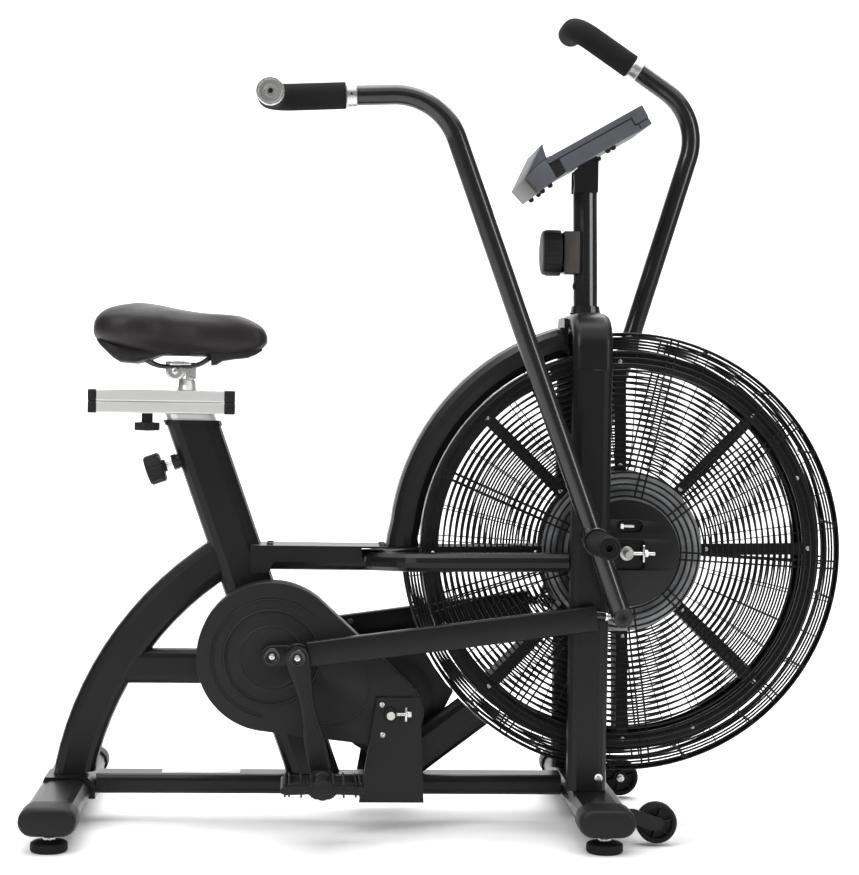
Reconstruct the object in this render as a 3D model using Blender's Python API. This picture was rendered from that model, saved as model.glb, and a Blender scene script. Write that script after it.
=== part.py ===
"""Air bike: a fan-braked exercise bike with pedals and swinging hand levers.

Metres, +Z up, +X towards the fan, -Y is the rider's right-hand side (called near; +Y is far).
The origin is on the floor at the middle of the bounding box.
Each object is one physical piece and one closed body.
"""

import math

import bmesh
import bpy
from mathutils import Matrix, Vector
from mathutils.geometry import tessellate_polygon

# ---- driving dimensions ---------------------------------------------------------------
GAP = 0.0003                    # clearance between touching pieces
WALL = 0.0025                   # wall of the frame tubes

REAR_X = -0.5620                # rear stabiliser
FRONT_X = 0.2256                # front stabiliser
STAB_Z = 0.0465                 # centre height of both stabilisers
STAB_HALF = 0.245               # half length of a stabiliser tube
CAP_END = 0.265                 # |y| of an end cap's outer face
CAP_SIZE = (0.083, 0.042)
STAB_SIZE = (0.077, 0.036)

FRAME_TUBE = (0.060, 0.030)     # flat-oval tube of the rail, mast and rear arc
MAST_TUBE = (0.060, 0.028)
SEAT_TUBE = (0.077, 0.040)
RAIL_Z = 0.0575                 # centre height of the base rail
RAIL_TOP = RAIL_Z + FRAME_TUBE[1] / 2 + GAP

MAST_X = 0.2150
MAST_Y = 0.0970                 # |y| of each mast leg's centre
MAST_TOP = 0.7617               # centre height of the mast's head
MAST_BEND = 0.040
LEG_TOP = 0.690

BB = Vector((-0.2535, 0.0, 0.2625))         # bottom bracket
SEAT_LEAN = math.radians(19.6)
SEAT_SHIFT = 0.0048             # the seat tube passes this far behind the bottom bracket
SEAT_TOP_Z = 0.606
SEAT_CAVITY_Z = 0.385

FAN = Vector((0.2725, 0.0, 0.4170))         # fan axle
CAGE_R = 0.3310
WHEEL_R = 0.3045
WHEEL_INNER_R = 0.2785
BLADES = 8

LAY = Vector((-0.0780, 0.0, 0.1770))        # intermediate shaft

ARCH_R = 0.330                  # arch centre line, about the fan axle
ARCH_THICK = 0.045
ARCH_WIDTH = 0.080
CHANNEL_TOP = 0.4201
CHANNEL_BOTTOM = 0.3957

THROW = 0.0372                  # eccentric that drives the levers
CRANK_ANGLE = math.radians(4.0)
PEDAL_ARM = 0.178
PEDAL_ANGLE = math.radians(-77.7)
FAR_PEDAL_TURN = math.radians(70.0)         # the far pedal hangs turned on its axle
ROD_LENGTH = 0.4781
ROD_Y = 0.126
LEVER_Y = 0.150
LEVER_ARM = 0.118
LEVER_PIVOT = Vector((0.2170, 0.0, 0.4395))
LEVER_R = 0.015
PEG_END = 0.290                 # |y| of a foot peg's outer face

WHEEL_POS = Vector((0.3075, 0.0, 0.0335))   # transport wheel
WHEEL_Y = 0.181
TRANSPORT_R = 0.0295
FOOT_Y = 0.230

POST_X = 0.2155                 # console post
POST_R = 0.0185
CONSOLE_HINGE = Vector((0.2115, 0.0, 1.0080))
CONSOLE_TILT = math.radians(30.0)


BLACK = ("powder_black", (0.018, 0.018, 0.019), 0.42, 0.0)
PLASTIC = ("black_plastic", (0.022, 0.022, 0.023), 0.50, 0.0)
SLATE = ("slate_plastic", (0.085, 0.090, 0.110), 0.50, 0.0)
VINYL = ("black_vinyl", (0.030, 0.029, 0.029), 0.45, 0.0)
FOAM = ("black_foam", (0.030, 0.030, 0.031), 0.85, 0.0)
ZINC = ("zinc", (0.55, 0.55, 0.53), 0.30, 1.0)
ALU = ("aluminium", (0.80, 0.80, 0.80), 0.35, 1.0)
GALVANISED = ("galvanised", (0.32, 0.33, 0.35), 0.42, 1.0)
RUBBER = ("rubber", (0.020, 0.020, 0.020), 0.75, 0.0)

X_AXIS = Vector((1, 0, 0))
Y_AXIS = Vector((0, 1, 0))
Z_AXIS = Vector((0, 0, 1))
SIDES = (("near", -1), ("far", 1))


# ---- building tools -------------------------------------------------------------------
def clear_scene():
    for item in list(bpy.data.objects):
        bpy.data.objects.remove(item)


def material(spec):
    name, colour, roughness, metallic = spec
    made = bpy.data.materials.get(name)
    if made is None:
        made = bpy.data.materials.new(name)
        made.use_nodes = True
        shader = made.node_tree.nodes["Principled BSDF"]
        shader.inputs["Base Color"].default_value = (*colour, 1.0)
        shader.inputs["Roughness"].default_value = roughness
        shader.inputs["Metallic"].default_value = metallic
    return made


def make(name, vertices, faces, spec, origin=(0, 0, 0)):
    """An object from world points, with its own origin moved to origin."""
    origin = Vector(origin)
    mesh = bpy.data.meshes.new(name)
    mesh.from_pydata([Vector(v) - origin for v in vertices], [], faces)
    builder = bmesh.new()
    builder.from_mesh(mesh)
    bmesh.ops.remove_doubles(builder, verts=builder.verts, dist=1e-6)
    bmesh.ops.recalc_face_normals(builder, faces=builder.faces)
    builder.to_mesh(mesh)
    builder.free()
    made = bpy.data.objects.new(name, mesh)
    made.location = origin
    mesh.materials.append(material(spec))
    mesh.shade_smooth()
    mesh.set_sharp_from_angle(angle=math.radians(35))
    bpy.context.scene.collection.objects.link(made)
    return made


def oval(width, depth, steps=6):
    """A flat-oval outline: width along the first axis, depth along the second."""
    radius = depth / 2
    reach = (width - depth) / 2
    points = []
    for centre, start in ((reach, -90), (-reach, 90)):
        for i in range(steps + 1):
            angle = math.radians(start + 180 * i / steps)
            points.append((centre + radius * math.cos(angle), radius * math.sin(angle)))
    return points


def circle(radius, steps=12):
    turns = [2 * math.pi * i / steps for i in range(steps)]
    return [(radius * math.cos(t), radius * math.sin(t)) for t in turns]


def rounded(width, depth, radius, steps=3):
    """A rectangle outline with rounded corners."""
    points = []
    corners = ((1, 1, 0), (-1, 1, 90), (-1, -1, 180), (1, -1, 270))
    for sx, sy, start in corners:
        cx = sx * (width / 2 - radius)
        cy = sy * (depth / 2 - radius)
        for i in range(steps + 1):
            angle = math.radians(start + 90 * i / steps)
            points.append((cx + radius * math.cos(angle), cy + radius * math.sin(angle)))
    return points


def sweep(name, path, outline, side, spec, wall=0.0, thickness=None, origin=(0, 0, 0)):
    """A tube along path. side is the outline's second axis; wall leaves it hollow.

    thickness is an optional list that scales the outline's first axis at each point.
    """
    path = [Vector(p) for p in path]
    loops = [outline]
    if wall:
        wide = max(x for x, y in outline)
        deep = max(y for x, y in outline)
        loops.append([(x * (1 - wall / wide), y * (1 - wall / deep)) for x, y in outline])
    vertices = []
    side = Vector(side).normalized()
    for index, point in enumerate(path):
        before = path[max(index - 1, 0)]
        after = path[min(index + 1, len(path) - 1)]
        along = (after - before).normalized()
        side = (side - along * side.dot(along)).normalized()
        first = side.cross(along).normalized()
        scale = thickness[index] if thickness else 1.0
        for loop in loops:
            vertices += [point + first * u * scale + side * v for u, v in loop]
    count = len(outline)
    ring = count * len(loops)
    faces = []
    for index in range(len(path) - 1):
        for which in range(len(loops)):
            base = index * ring + which * count
            for i in range(count):
                j = (i + 1) % count
                faces.append((base + i, base + j, base + ring + j, base + ring + i))
    for start in (0, (len(path) - 1) * ring):
        if wall:
            for i in range(count):
                j = (i + 1) % count
                faces.append((start + i, start + j, start + count + j, start + count + i))
        else:
            faces.append(tuple(range(start, start + count)))
    return make(name, vertices, faces, spec, origin)


def plate(name, outline, low, high, spec, holes=(), axis="Y", origin=(0, 0, 0)):
    """A flat plate: an outline with holes, extruded along an axis from low to high.

    The outline's points are (x, z) for axis Y, (x, y) for axis Z and (y, z) for axis X.
    """
    def place(point, height):
        u, v = point
        if axis == "Y":
            return (u, height, v)
        if axis == "Z":
            return (u, v, height)
        return (height, u, v)

    loops = [list(outline)] + [list(hole) for hole in holes]
    triangles = tessellate_polygon([[Vector((u, v, 0)) for u, v in loop] for loop in loops])
    flat = [point for loop in loops for point in loop]
    total = len(flat)
    vertices = [place(p, low) for p in flat] + [place(p, high) for p in flat]
    faces = [tuple(t) for t in triangles]
    faces += [tuple(total + i for i in t) for t in triangles]
    start = 0
    for loop in loops:
        count = len(loop)
        for i in range(count):
            a = start + i
            b = start + (i + 1) % count
            faces.append((a, b, total + b, total + a))
        start += count
    return make(name, vertices, faces, spec, origin)


def turned(name, profile, centre, axis, spec, steps=18, origin=None):
    """A turned piece. profile is (radius, height) pairs; ends on the axis close it."""
    axis = Vector(axis).normalized()
    first = axis.orthogonal().normalized()
    second = axis.cross(first)
    centre = Vector(centre)
    closed = profile[0][0] > 0
    vertices = []
    rings = []
    for radius, height in profile:
        if radius == 0:
            rings.append([len(vertices)])
            vertices.append(centre + axis * height)
            continue
        rings.append(list(range(len(vertices), len(vertices) + steps)))
        for i in range(steps):
            angle = 2 * math.pi * i / steps
            spoke = first * math.cos(angle) + second * math.sin(angle)
            vertices.append(centre + axis * height + spoke * radius)
    faces = []
    pairs = list(zip(rings, rings[1:]))
    if closed:
        pairs.append((rings[-1], rings[0]))
    for low, high in pairs:
        for i in range(steps):
            j = (i + 1) % steps
            if len(low) == 1 and len(high) == 1:
                continue
            if len(low) == 1:
                faces.append((low[0], high[i], high[j]))
            elif len(high) == 1:
                faces.append((low[i], low[j], high[0]))
            else:
                faces.append((low[i], low[j], high[j], high[i]))
    return make(name, vertices, faces, spec, centre if origin is None else origin)


def rod(name, start, end, radius, spec, steps=16, origin=None):
    start = Vector(start)
    length = (Vector(end) - start).length
    profile = [(0, 0), (radius, 0), (radius, length), (0, length)]
    return turned(name, profile, start, Vector(end) - start, spec, steps, origin)


def combine(target, others, operation="UNION"):
    """Joins or cuts target with others, and removes them."""
    for index, other in enumerate(others):
        step = target.modifiers.new(f"step_{index}", "BOOLEAN")
        step.operation = operation
        step.solver = "EXACT"
        step.object = other
    bpy.context.view_layer.update()
    graph = bpy.context.evaluated_depsgraph_get()
    result = bpy.data.meshes.new_from_object(target.evaluated_get(graph))
    target.modifiers.clear()
    target.data = result
    for other in others:
        bpy.data.objects.remove(other)
    builder = bmesh.new()
    builder.from_mesh(result)
    bmesh.ops.remove_doubles(builder, verts=builder.verts, dist=1e-5)
    bmesh.ops.dissolve_degenerate(builder, edges=builder.edges, dist=1e-5)
    builder.to_mesh(result)
    builder.free()
    return target


def arc(centre, radius, start, end, steps, y=0.0):
    """Points on an arc in the XZ plane, angles in degrees from +X towards +Z."""
    points = []
    for i in range(steps + 1):
        angle = math.radians(start + (end - start) * i / steps)
        points.append(Vector((centre[0] + radius * math.cos(angle), y,
                              centre[1] + radius * math.sin(angle))))
    return points


def arc_through(first, middle, last, steps):
    """Points on the arc through three (x, z) points, from first to last."""
    a = Vector(first)
    b = Vector(middle)
    c = Vector(last)
    d = 2 * (a.x * (b.y - c.y) + b.x * (c.y - a.y) + c.x * (a.y - b.y))
    ux = (a.dot(a) * (b.y - c.y) + b.dot(b) * (c.y - a.y) + c.dot(c) * (a.y - b.y)) / d
    uz = (a.dot(a) * (c.x - b.x) + b.dot(b) * (a.x - c.x) + c.dot(c) * (b.x - a.x)) / d
    start = math.degrees(math.atan2(a.y - uz, a.x - ux))
    end = math.degrees(math.atan2(c.y - uz, c.x - ux))
    return arc((ux, uz), (a - Vector((ux, uz))).length, start, end, steps)


def seat_axis(z):
    """The point of the seat tube's centre line at height z."""
    return Vector((BB.x - SEAT_SHIFT - (z - BB.z) * math.tan(SEAT_LEAN), 0.0, z))


SEAT_DIRECTION = Vector((-math.sin(SEAT_LEAN), 0.0, math.cos(SEAT_LEAN)))


# ---- base -----------------------------------------------------------------------------
def build_stabilisers():
    for end, x in (("rear", REAR_X), ("front", FRONT_X)):
        tube = sweep(f"{end}_stabilizer", [(x, -STAB_HALF, STAB_Z), (x, STAB_HALF, STAB_Z)],
                     oval(*STAB_SIZE), Z_AXIS, BLACK, WALL)
        if end == "front":
            arms = []
            for side, sign in SIDES:
                low = sign * (WHEEL_Y + 0.0135)
                shape = [(x + 0.034, 0.056), (x + 0.034, 0.036), (WHEEL_POS.x - 0.004, 0.0245),
                         (WHEEL_POS.x + 0.006, 0.0265), (WHEEL_POS.x + 0.009, 0.0345),
                         (WHEEL_POS.x + 0.004, 0.0425), (x + 0.048, 0.056)]
                arms.append(plate("arm", shape, low, low + sign * 0.004, BLACK))
            combine(tube, arms)
        for side, sign in SIDES:
            build_cap(f"{end}_cap_{side}", x, sign)


def build_cap(name, x, sign):
    """A plastic end cap: a sleeve over the tube's end with a domed face."""
    outer = oval(*CAP_SIZE)
    stations = ((0.215, 1.0), (CAP_END - 0.010, 1.0), (CAP_END - 0.004, 0.95), (CAP_END, 0.82))
    inner = [(u * 0.942, v * 0.886) for u, v in outer]
    count = len(outer)
    vertices = []
    for y, scale in stations:
        vertices += [(x + u * (1 - (1 - scale) * 0.5), sign * y, STAB_Z + v * scale)
                     for u, v in outer]
    for y in (0.215, STAB_HALF + GAP):
        vertices += [(x + u, sign * y, STAB_Z + v) for u, v in inner]
    faces = []
    for low, high in ((0, 1), (1, 2), (2, 3), (4, 5)):
        for i in range(count):
            j = (i + 1) % count
            faces.append((low * count + i, low * count + j, high * count + j, high * count + i))
    faces.append(tuple(range(3 * count, 4 * count)))
    faces.append(tuple(range(5 * count, 6 * count)))
    for i in range(count):
        j = (i + 1) % count
        faces.append((i, j, 4 * count + j, 4 * count + i))
    return make(name, vertices, faces, PLASTIC)


def build_feet():
    """Levelling feet: a pad on a threaded stem, turned about the stem."""
    top = STAB_Z - CAP_SIZE[1] / 2 - GAP
    profile = [(0, 0), (0.0235, 0), (0.0265, 0.003), (0.0265, 0.012), (0.020, 0.0155),
               (0.0105, 0.0160), (0.0105, 0.0205), (0.0050, 0.0205), (0.0050, top), (0, top)]
    for end, x in (("rear", REAR_X), ("front", FRONT_X)):
        for side, sign in SIDES:
            turned(f"foot_{end}_{side}", profile, (x, sign * FOOT_Y, 0), Z_AXIS, RUBBER)


def build_transport_wheels():
    half = 0.0115
    rim = TRANSPORT_R
    profile = [(0.0045, -half), (0.010, -half), (0.010, -0.005), (0.021, -0.005), (0.021, -half),
               (rim - 0.002, -half), (rim, -half + 0.003), (rim, half - 0.003),
               (rim - 0.002, half), (0.021, half), (0.021, 0.005), (0.010, 0.005),
               (0.010, half), (0.0045, half)]
    for side, sign in SIDES:
        centre = WHEEL_POS + Y_AXIS * sign * WHEEL_Y
        turned(f"transport_wheel_{side}", profile, centre, Y_AXIS, RUBBER)


def build_rail():
    start = REAR_X + 0.0455 + GAP
    end = FRONT_X - STAB_SIZE[0] / 2 - GAP
    sweep("base_rail", [(start, 0, RAIL_Z), (end, 0, RAIL_Z)],
          rounded(FRAME_TUBE[1], FRAME_TUBE[0], 0.010), Y_AXIS, BLACK, WALL)


# ---- rear frame -----------------------------------------------------------------------
def rear_arc():
    """Centre line of the rear arc tube, from its foot to just behind the seat tube."""
    return arc_through((-0.5510, 0.0735), (-0.4661, 0.2715), (-0.3560, 0.3830), 12)


def build_rear_frame():
    top = STAB_Z + STAB_SIZE[1] / 2
    path = [Vector((-0.5530, 0, 0.0560))] + rear_arc() + [Vector((-0.3200, 0, 0.4085))]
    tube = sweep("rear_arc_tube", path, oval(0.062, 0.030), Y_AXIS, BLACK)
    over_rail = plate("over_rail", [(REAR_X + 0.030, 0.0), (0.0, 0.0), (0.0, RAIL_TOP),
                                    (REAR_X + 0.030, RAIL_TOP)], -0.1, 0.1, BLACK)
    combine(tube, [over_rail], "DIFFERENCE")
    front = REAR_X + 0.0455
    wrap = [(REAR_X - 0.033, top - 0.004), (REAR_X - 0.030, top + 0.004),
            (REAR_X + 0.034, top + 0.004), (front, top - 0.008), (front, STAB_Z - 0.010),
            (REAR_X + 0.020, STAB_Z - 0.010)]
    bracket = plate("bracket", wrap, -0.036, 0.036, BLACK)
    combine(tube, [bracket])
    inside = sweep("cut", [(REAR_X, -0.1, STAB_Z), (REAR_X, 0.1, STAB_Z)],
                   oval(STAB_SIZE[0] + 2 * GAP, STAB_SIZE[1] + 2 * GAP), Z_AXIS, BLACK)
    combine(tube, [inside], "DIFFERENCE")
    cut_by_seat_tube(tube)
    return tube


def cut_by_seat_tube(piece):
    """Trims a piece where the seat tube passes, with the usual gap."""
    grown = [(u * 1.008, v * 1.015) for u, v in oval(*SEAT_TUBE)]
    cutter = sweep("cut", [seat_axis(0.02), seat_axis(0.75)], grown, Y_AXIS, BLACK)
    front = BB.x + 0.3
    block = plate("block", [(seat_axis(0.02).x, 0.02), (front, 0.02), (front, 0.75),
                            (seat_axis(0.75).x, 0.75)], -0.2, 0.2, BLACK)
    combine(piece, [cutter, block], "DIFFERENCE")


def build_brace():
    brace = sweep("rear_brace", [(-0.500, 0, 0.2330), (-0.230, 0, 0.2330)],
                  oval(0.054, 0.028), Y_AXIS, BLACK)
    cut_by_seat_tube(brace)
    path = rear_arc()
    cutter = sweep("cut", path, [(u * 1.01, v * 1.02) for u, v in oval(0.062, 0.030)],
                   Y_AXIS, BLACK)
    behind = [(-0.70, 0.10), (-0.545, 0.10)] + [(p.x, p.z) for p in path[1:9]] + [(-0.70, 0.40)]
    block = plate("block", behind, -0.2, 0.2, BLACK)
    combine(brace, [cutter, block], "DIFFERENCE")


def build_seat_tube():
    """Seat tube with its collar: solid at the bracket, open above for the post."""
    low = RAIL_TOP
    tube = sweep("seat_tube", [seat_axis(low - 0.03), seat_axis(SEAT_TOP_Z + 0.040)],
                 oval(*SEAT_TUBE), Y_AXIS, BLACK)
    collar = sweep("collar", [seat_axis(SEAT_TOP_Z - 0.040), seat_axis(SEAT_TOP_Z + 0.040)],
                   oval(SEAT_TUBE[0] + 0.005, SEAT_TUBE[1] + 0.005), Y_AXIS, PLASTIC)
    under = plate("under", [(-0.6, 0.5), (-0.2, 0.5), (-0.2, SEAT_TOP_Z - 0.008),
                            (-0.6, SEAT_TOP_Z - 0.008)], -0.1, 0.1, BLACK)
    combine(collar, [under], "DIFFERENCE")
    boss_at = seat_axis(0.5570) - SEAT_NORMAL * SEAT_TUBE[0] / 2
    boss = rod("boss", boss_at + SEAT_NORMAL * 0.004, boss_at - SEAT_NORMAL * 0.010,
               0.011, BLACK)
    combine(tube, [collar, boss])
    inside = oval(SEAT_TUBE[0] - 2 * WALL, SEAT_TUBE[1] - 2 * WALL)
    cavity = sweep("cavity", [seat_axis(SEAT_CAVITY_Z), seat_axis(SEAT_TOP_Z + 0.060)],
                   inside, Y_AXIS, BLACK)
    below = plate("below", [(-0.4, 0.0), (0.0, 0.0), (0.0, low), (-0.4, low)],
                  -0.1, 0.1, BLACK)
    bore = rod("bore", BB - Y_AXIS * 0.1, BB + Y_AXIS * 0.1, 0.0110, BLACK, 20)
    pin_hole = rod("pin_hole", boss_at - SEAT_NORMAL * 0.020, boss_at + SEAT_NORMAL * 0.010,
                   0.0048, BLACK)
    above = plate("above", [(-0.6, SEAT_TOP_Z), (-0.2, SEAT_TOP_Z), (-0.2, 0.8), (-0.6, 0.8)],
                  -0.1, 0.1, BLACK)
    combine(tube, [cavity, below, bore, pin_hole, above], "DIFFERENCE")


SEAT_NORMAL = Vector((math.cos(SEAT_LEAN), 0.0, math.sin(SEAT_LEAN)))


# ---- centre frame ---------------------------------------------------------------------
def build_top_channel():
    """Folded channel from the seat tube to the arch: a top with two sides and ears."""
    half = ARCH_WIDTH / 2
    rear = -0.2890
    sides_end = -0.1220
    front = -0.0340
    top = plate("top_channel", [(rear, CHANNEL_TOP - 0.003), (front, CHANNEL_TOP - 0.003),
                                (front, CHANNEL_TOP), (rear, CHANNEL_TOP)],
                -half, half, BLACK)
    ear = [(rear, CHANNEL_TOP - 0.001), (rear, 0.3785), (-0.2620, 0.3785), (-0.2540, CHANNEL_BOTTOM),
           (sides_end, CHANNEL_BOTTOM), (sides_end, CHANNEL_TOP - 0.001)]
    walls = []
    for side, sign in SIDES:
        walls.append(plate("wall", ear, sign * (half - 0.003), sign * half, BLACK))
    combine(top, walls)
    cut = sweep("cut", [seat_axis(0.30), seat_axis(0.50)],
                [(u * 1.008, v * 1.015) for u, v in oval(*SEAT_TUBE)], Y_AXIS, BLACK)
    combine(top, [cut], "DIFFERENCE")


def build_arch():
    """Arch over the fan guard, from the channel to the mast's head, with its flange."""
    foot_x = FAN.x - ARCH_R
    path = [Vector((foot_x - 0.002, 0, CHANNEL_TOP + GAP)),
            Vector((foot_x - 0.002, 0, CHANNEL_TOP + 0.014))]
    path += arc((FAN.x, FAN.z), ARCH_R, 174, 107.5, 18)
    flange_x = MAST_X - MAST_TUBE[0] / 2 - GAP
    path.append(Vector((flange_x - 0.002, 0, FAN.z + ARCH_R * math.sin(math.radians(107.0)))))
    thick = [1.10, 1.02] + [1.0] * (len(path) - 2)
    arch = sweep("arch_tube", path, oval_across(ARCH_THICK, ARCH_WIDTH), Y_AXIS, BLACK,
                 0.0, thick)
    centre_z = path[-1].z
    outline = [(y, centre_z + 0.009 + z) for y, z in rounded(0.084, 0.056, 0.012)]
    flange = plate("flange", outline, flange_x - 0.006, flange_x, BLACK, axis="X")
    combine(arch, [flange])


def oval_across(thick, wide):
    """A flat oval with its long side across the bike."""
    return [(v, u) for u, v in reversed(oval(wide, thick))]


def build_side_tubes():
    z = 0.3970
    for side, sign in SIDES:
        start = seat_axis(z).x + SEAT_TUBE[0] / 2 / math.cos(SEAT_LEAN) + 0.004
        path = [(start, sign * 0.0220, z), (-0.118, sign * 0.0220, z)]
        for i in range(1, 8):
            part = i / 8
            ease = part * part * (3 - 2 * part)
            path.append((-0.118 + 0.075 * part, sign * (0.0220 + 0.0660 * ease), z + 0.004 * ease))
        path.append((-0.043, sign * 0.0880, z + 0.004))
        path.append((MAST_X - MAST_TUBE[0] / 2 - GAP, sign * 0.0880, z + 0.006))
        sweep(f"side_tube_{side}", path, circle(0.0145), Z_AXIS, BLACK)


def build_mast():
    """Two legs and the head that joins them over the fan guard."""
    top = STAB_Z + STAB_SIZE[1] / 2 + GAP
    for side, sign in SIDES:
        y = sign * MAST_Y
        sweep(f"mast_leg_{side}", [(MAST_X, y, top), (MAST_X, y, LEG_TOP)],
              oval(*MAST_TUBE), Y_AXIS, BLACK, WALL)
    corner_y = MAST_Y - MAST_BEND
    corner_z = MAST_TOP - MAST_BEND
    path = [(MAST_X, -MAST_Y, LEG_TOP + GAP)]
    for i in range(7):
        angle = math.radians(180 - 15 * i)
        path.append((MAST_X, -corner_y + MAST_BEND * math.cos(angle),
                     corner_z + MAST_BEND * math.sin(angle)))
    path += [(x, -y, z) for x, y, z in reversed(path)]
    sweep("mast_head", path, [(v, u) for u, v in reversed(oval(*MAST_TUBE))], X_AXIS, BLACK)


def build_strut():
    """Diagonal strut from the base rail up to the guard's rim."""
    start = Vector((-0.0824, 0, 0.0649))
    end = Vector((0.0915, 0, 0.1966))
    strut = sweep("diagonal_strut", [start, end], oval(0.060, 0.030), Y_AXIS, BLACK)
    below = plate("below", [(-0.3, -0.1), (0.3, -0.1), (0.3, RAIL_TOP), (-0.3, RAIL_TOP)],
                  -0.1, 0.1, BLACK)
    rim = rod("rim", FAN - Y_AXIS * 0.1, FAN + Y_AXIS * 0.1, CAGE_R + 0.004, BLACK, 64)
    combine(strut, [below, rim], "DIFFERENCE")


# ---- drive ----------------------------------------------------------------------------
def disc_outline(centre, radius, steps=32, start=0.0):
    points = []
    for i in range(steps):
        angle = start + 2 * math.pi * i / steps
        points.append((centre.x + radius * math.cos(angle), centre.z + radius * math.sin(angle)))
    return points


def teardrop(first, first_r, second, second_r, steps=18):
    """The outline round two circles and their outer tangents, as (x, z) points."""
    line = second - first
    heading = math.atan2(line.z, line.x)
    spread = math.acos((first_r - second_r) / line.length)
    points = []
    for i in range(steps + 1):
        angle = heading + spread + (2 * math.pi - 2 * spread) * i / steps
        points.append((first.x + first_r * math.cos(angle), first.z + first_r * math.sin(angle)))
    for i in range(steps // 2 + 1):
        angle = heading - spread + 2 * spread * i / (steps // 2)
        points.append((second.x + second_r * math.cos(angle),
                       second.z + second_r * math.sin(angle)))
    return points


COVER_NEAR = -0.0980
COVER_BACK = -0.0450
COVER_R = (0.1105, 0.0500)
COVER_CENTRE = Vector((-0.2550, 0.0, 0.2592))


def build_chain_cover():
    """Pan-shaped cover over the first chain, open at its back."""
    outer = teardrop(COVER_CENTRE, COVER_R[0], LAY, COVER_R[1])
    cover = plate("chain_cover", outer, COVER_NEAR, COVER_BACK, PLASTIC)
    inner = teardrop(COVER_CENTRE, COVER_R[0] - 0.003, LAY, COVER_R[1] - 0.003)
    hollow = plate("hollow", inner, COVER_NEAR + 0.003, COVER_BACK + 0.01, PLASTIC)
    hole = rod("hole", BB - Y_AXIS * 0.2, BB, 0.0135, PLASTIC, 24)
    end_hole = rod("end_hole", LAY - Y_AXIS * 0.2, LAY, 0.0080, PLASTIC, 20)
    combine(cover, [hollow, hole, end_hole], "DIFFERENCE")


def build_crank_axle():
    """Spindle with the big sprocket and its spider."""
    reach = 0.1032
    profile = [(0, -reach), (0.0100, -reach), (0.0100, -0.0760), (0.0910, -0.0760),
               (0.0910, -0.0720), (0.0100, -0.0720), (0.0100, reach), (0, reach)]
    turned("crank_axle", profile, BB, Y_AXIS, GALVANISED, 32)


def build_intermediate():
    """Intermediate shaft with its small and large sprockets."""
    reach = 0.1230
    profile = [(0, -reach), (0.0060, -reach), (0.0060, -0.0760), (0.0270, -0.0760),
               (0.0270, -0.0720), (0.0100, -0.0720), (0.0100, -0.0300), (0.0100, 0.0300),
               (0.0480, 0.0300), (0.0480, 0.0340), (0.0060, 0.0340),
               (0.0060, reach), (0, reach)]
    turned("intermediate_shaft", profile, LAY, Y_AXIS, GALVANISED, 28)


def build_second_cover():
    """Round cover of the second stage on the far side, with a short neck to the guard's rim."""
    outer = teardrop(LAY, 0.0830, LAY + Vector((0.1050, 0, 0.0900)), 0.0300)
    cover = plate("second_cover", outer, 0.0200, 0.0530, PLASTIC)
    inner = teardrop(LAY, 0.0800, LAY + Vector((0.1050, 0, 0.0900)), 0.0270)
    hollow = plate("hollow", inner, 0.0230, 0.0600, PLASTIC)
    hole = rod("hole", LAY, LAY + Y_AXIS * 0.2, 0.0120, PLASTIC, 20)
    rim = rod("rim", FAN, FAN + Y_AXIS * 0.1, CAGE_R + 0.004, PLASTIC, 64)
    combine(cover, [hollow, hole, rim], "DIFFERENCE")


def build_bracket_plates():
    """Upright plates that carry the intermediate shaft, one on each side of the rail."""
    outline = [(-0.1230, 0.0455), (-0.0270, 0.0455), (-0.0340, 0.2015), (-0.0980, 0.2015)]
    for side, sign in SIDES:
        bore = disc_outline(LAY, 0.0070, 16)
        plate(f"bracket_plate_{side}", outline, sign * 0.1000, sign * 0.1030, BLACK, [bore])


def eccentric(sign):
    """The eccentric pin's centre; the far side's is half a turn on."""
    turn = CRANK_ANGLE if sign < 0 else CRANK_ANGLE + math.pi
    return BB + Vector((THROW * math.cos(turn), 0, THROW * math.sin(turn)))


def pedal_axis(sign):
    turn = PEDAL_ANGLE if sign < 0 else PEDAL_ANGLE + math.pi
    return eccentric(sign) + Vector((PEDAL_ARM * math.cos(turn), 0, PEDAL_ARM * math.sin(turn)))


def build_cranks():
    """Inner crank, eccentric pin and pedal arm of each side, as one forging."""
    for side, sign in SIDES:
        pin = eccentric(sign)
        inner = teardrop(BB, 0.0165, pin, 0.0145, 12)
        low = sorted((sign * 0.1035, sign * 0.1155))
        crank = plate(f"crank_{side}", inner, low[0], low[1], BLACK, origin=BB)
        shaft = rod("shaft", pin + Y_AXIS * sign * 0.110, pin + Y_AXIS * sign * 0.140,
                    0.0080, BLACK)
        end = pedal_axis(sign)
        arm_shape = teardrop(pin, 0.0175, end, 0.0150, 12)
        arm = plate("arm", arm_shape, sign * 0.1370, sign * 0.1520, BLACK)
        combine(crank, [shaft, arm])
        build_pedal(side, sign, end)


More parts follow.
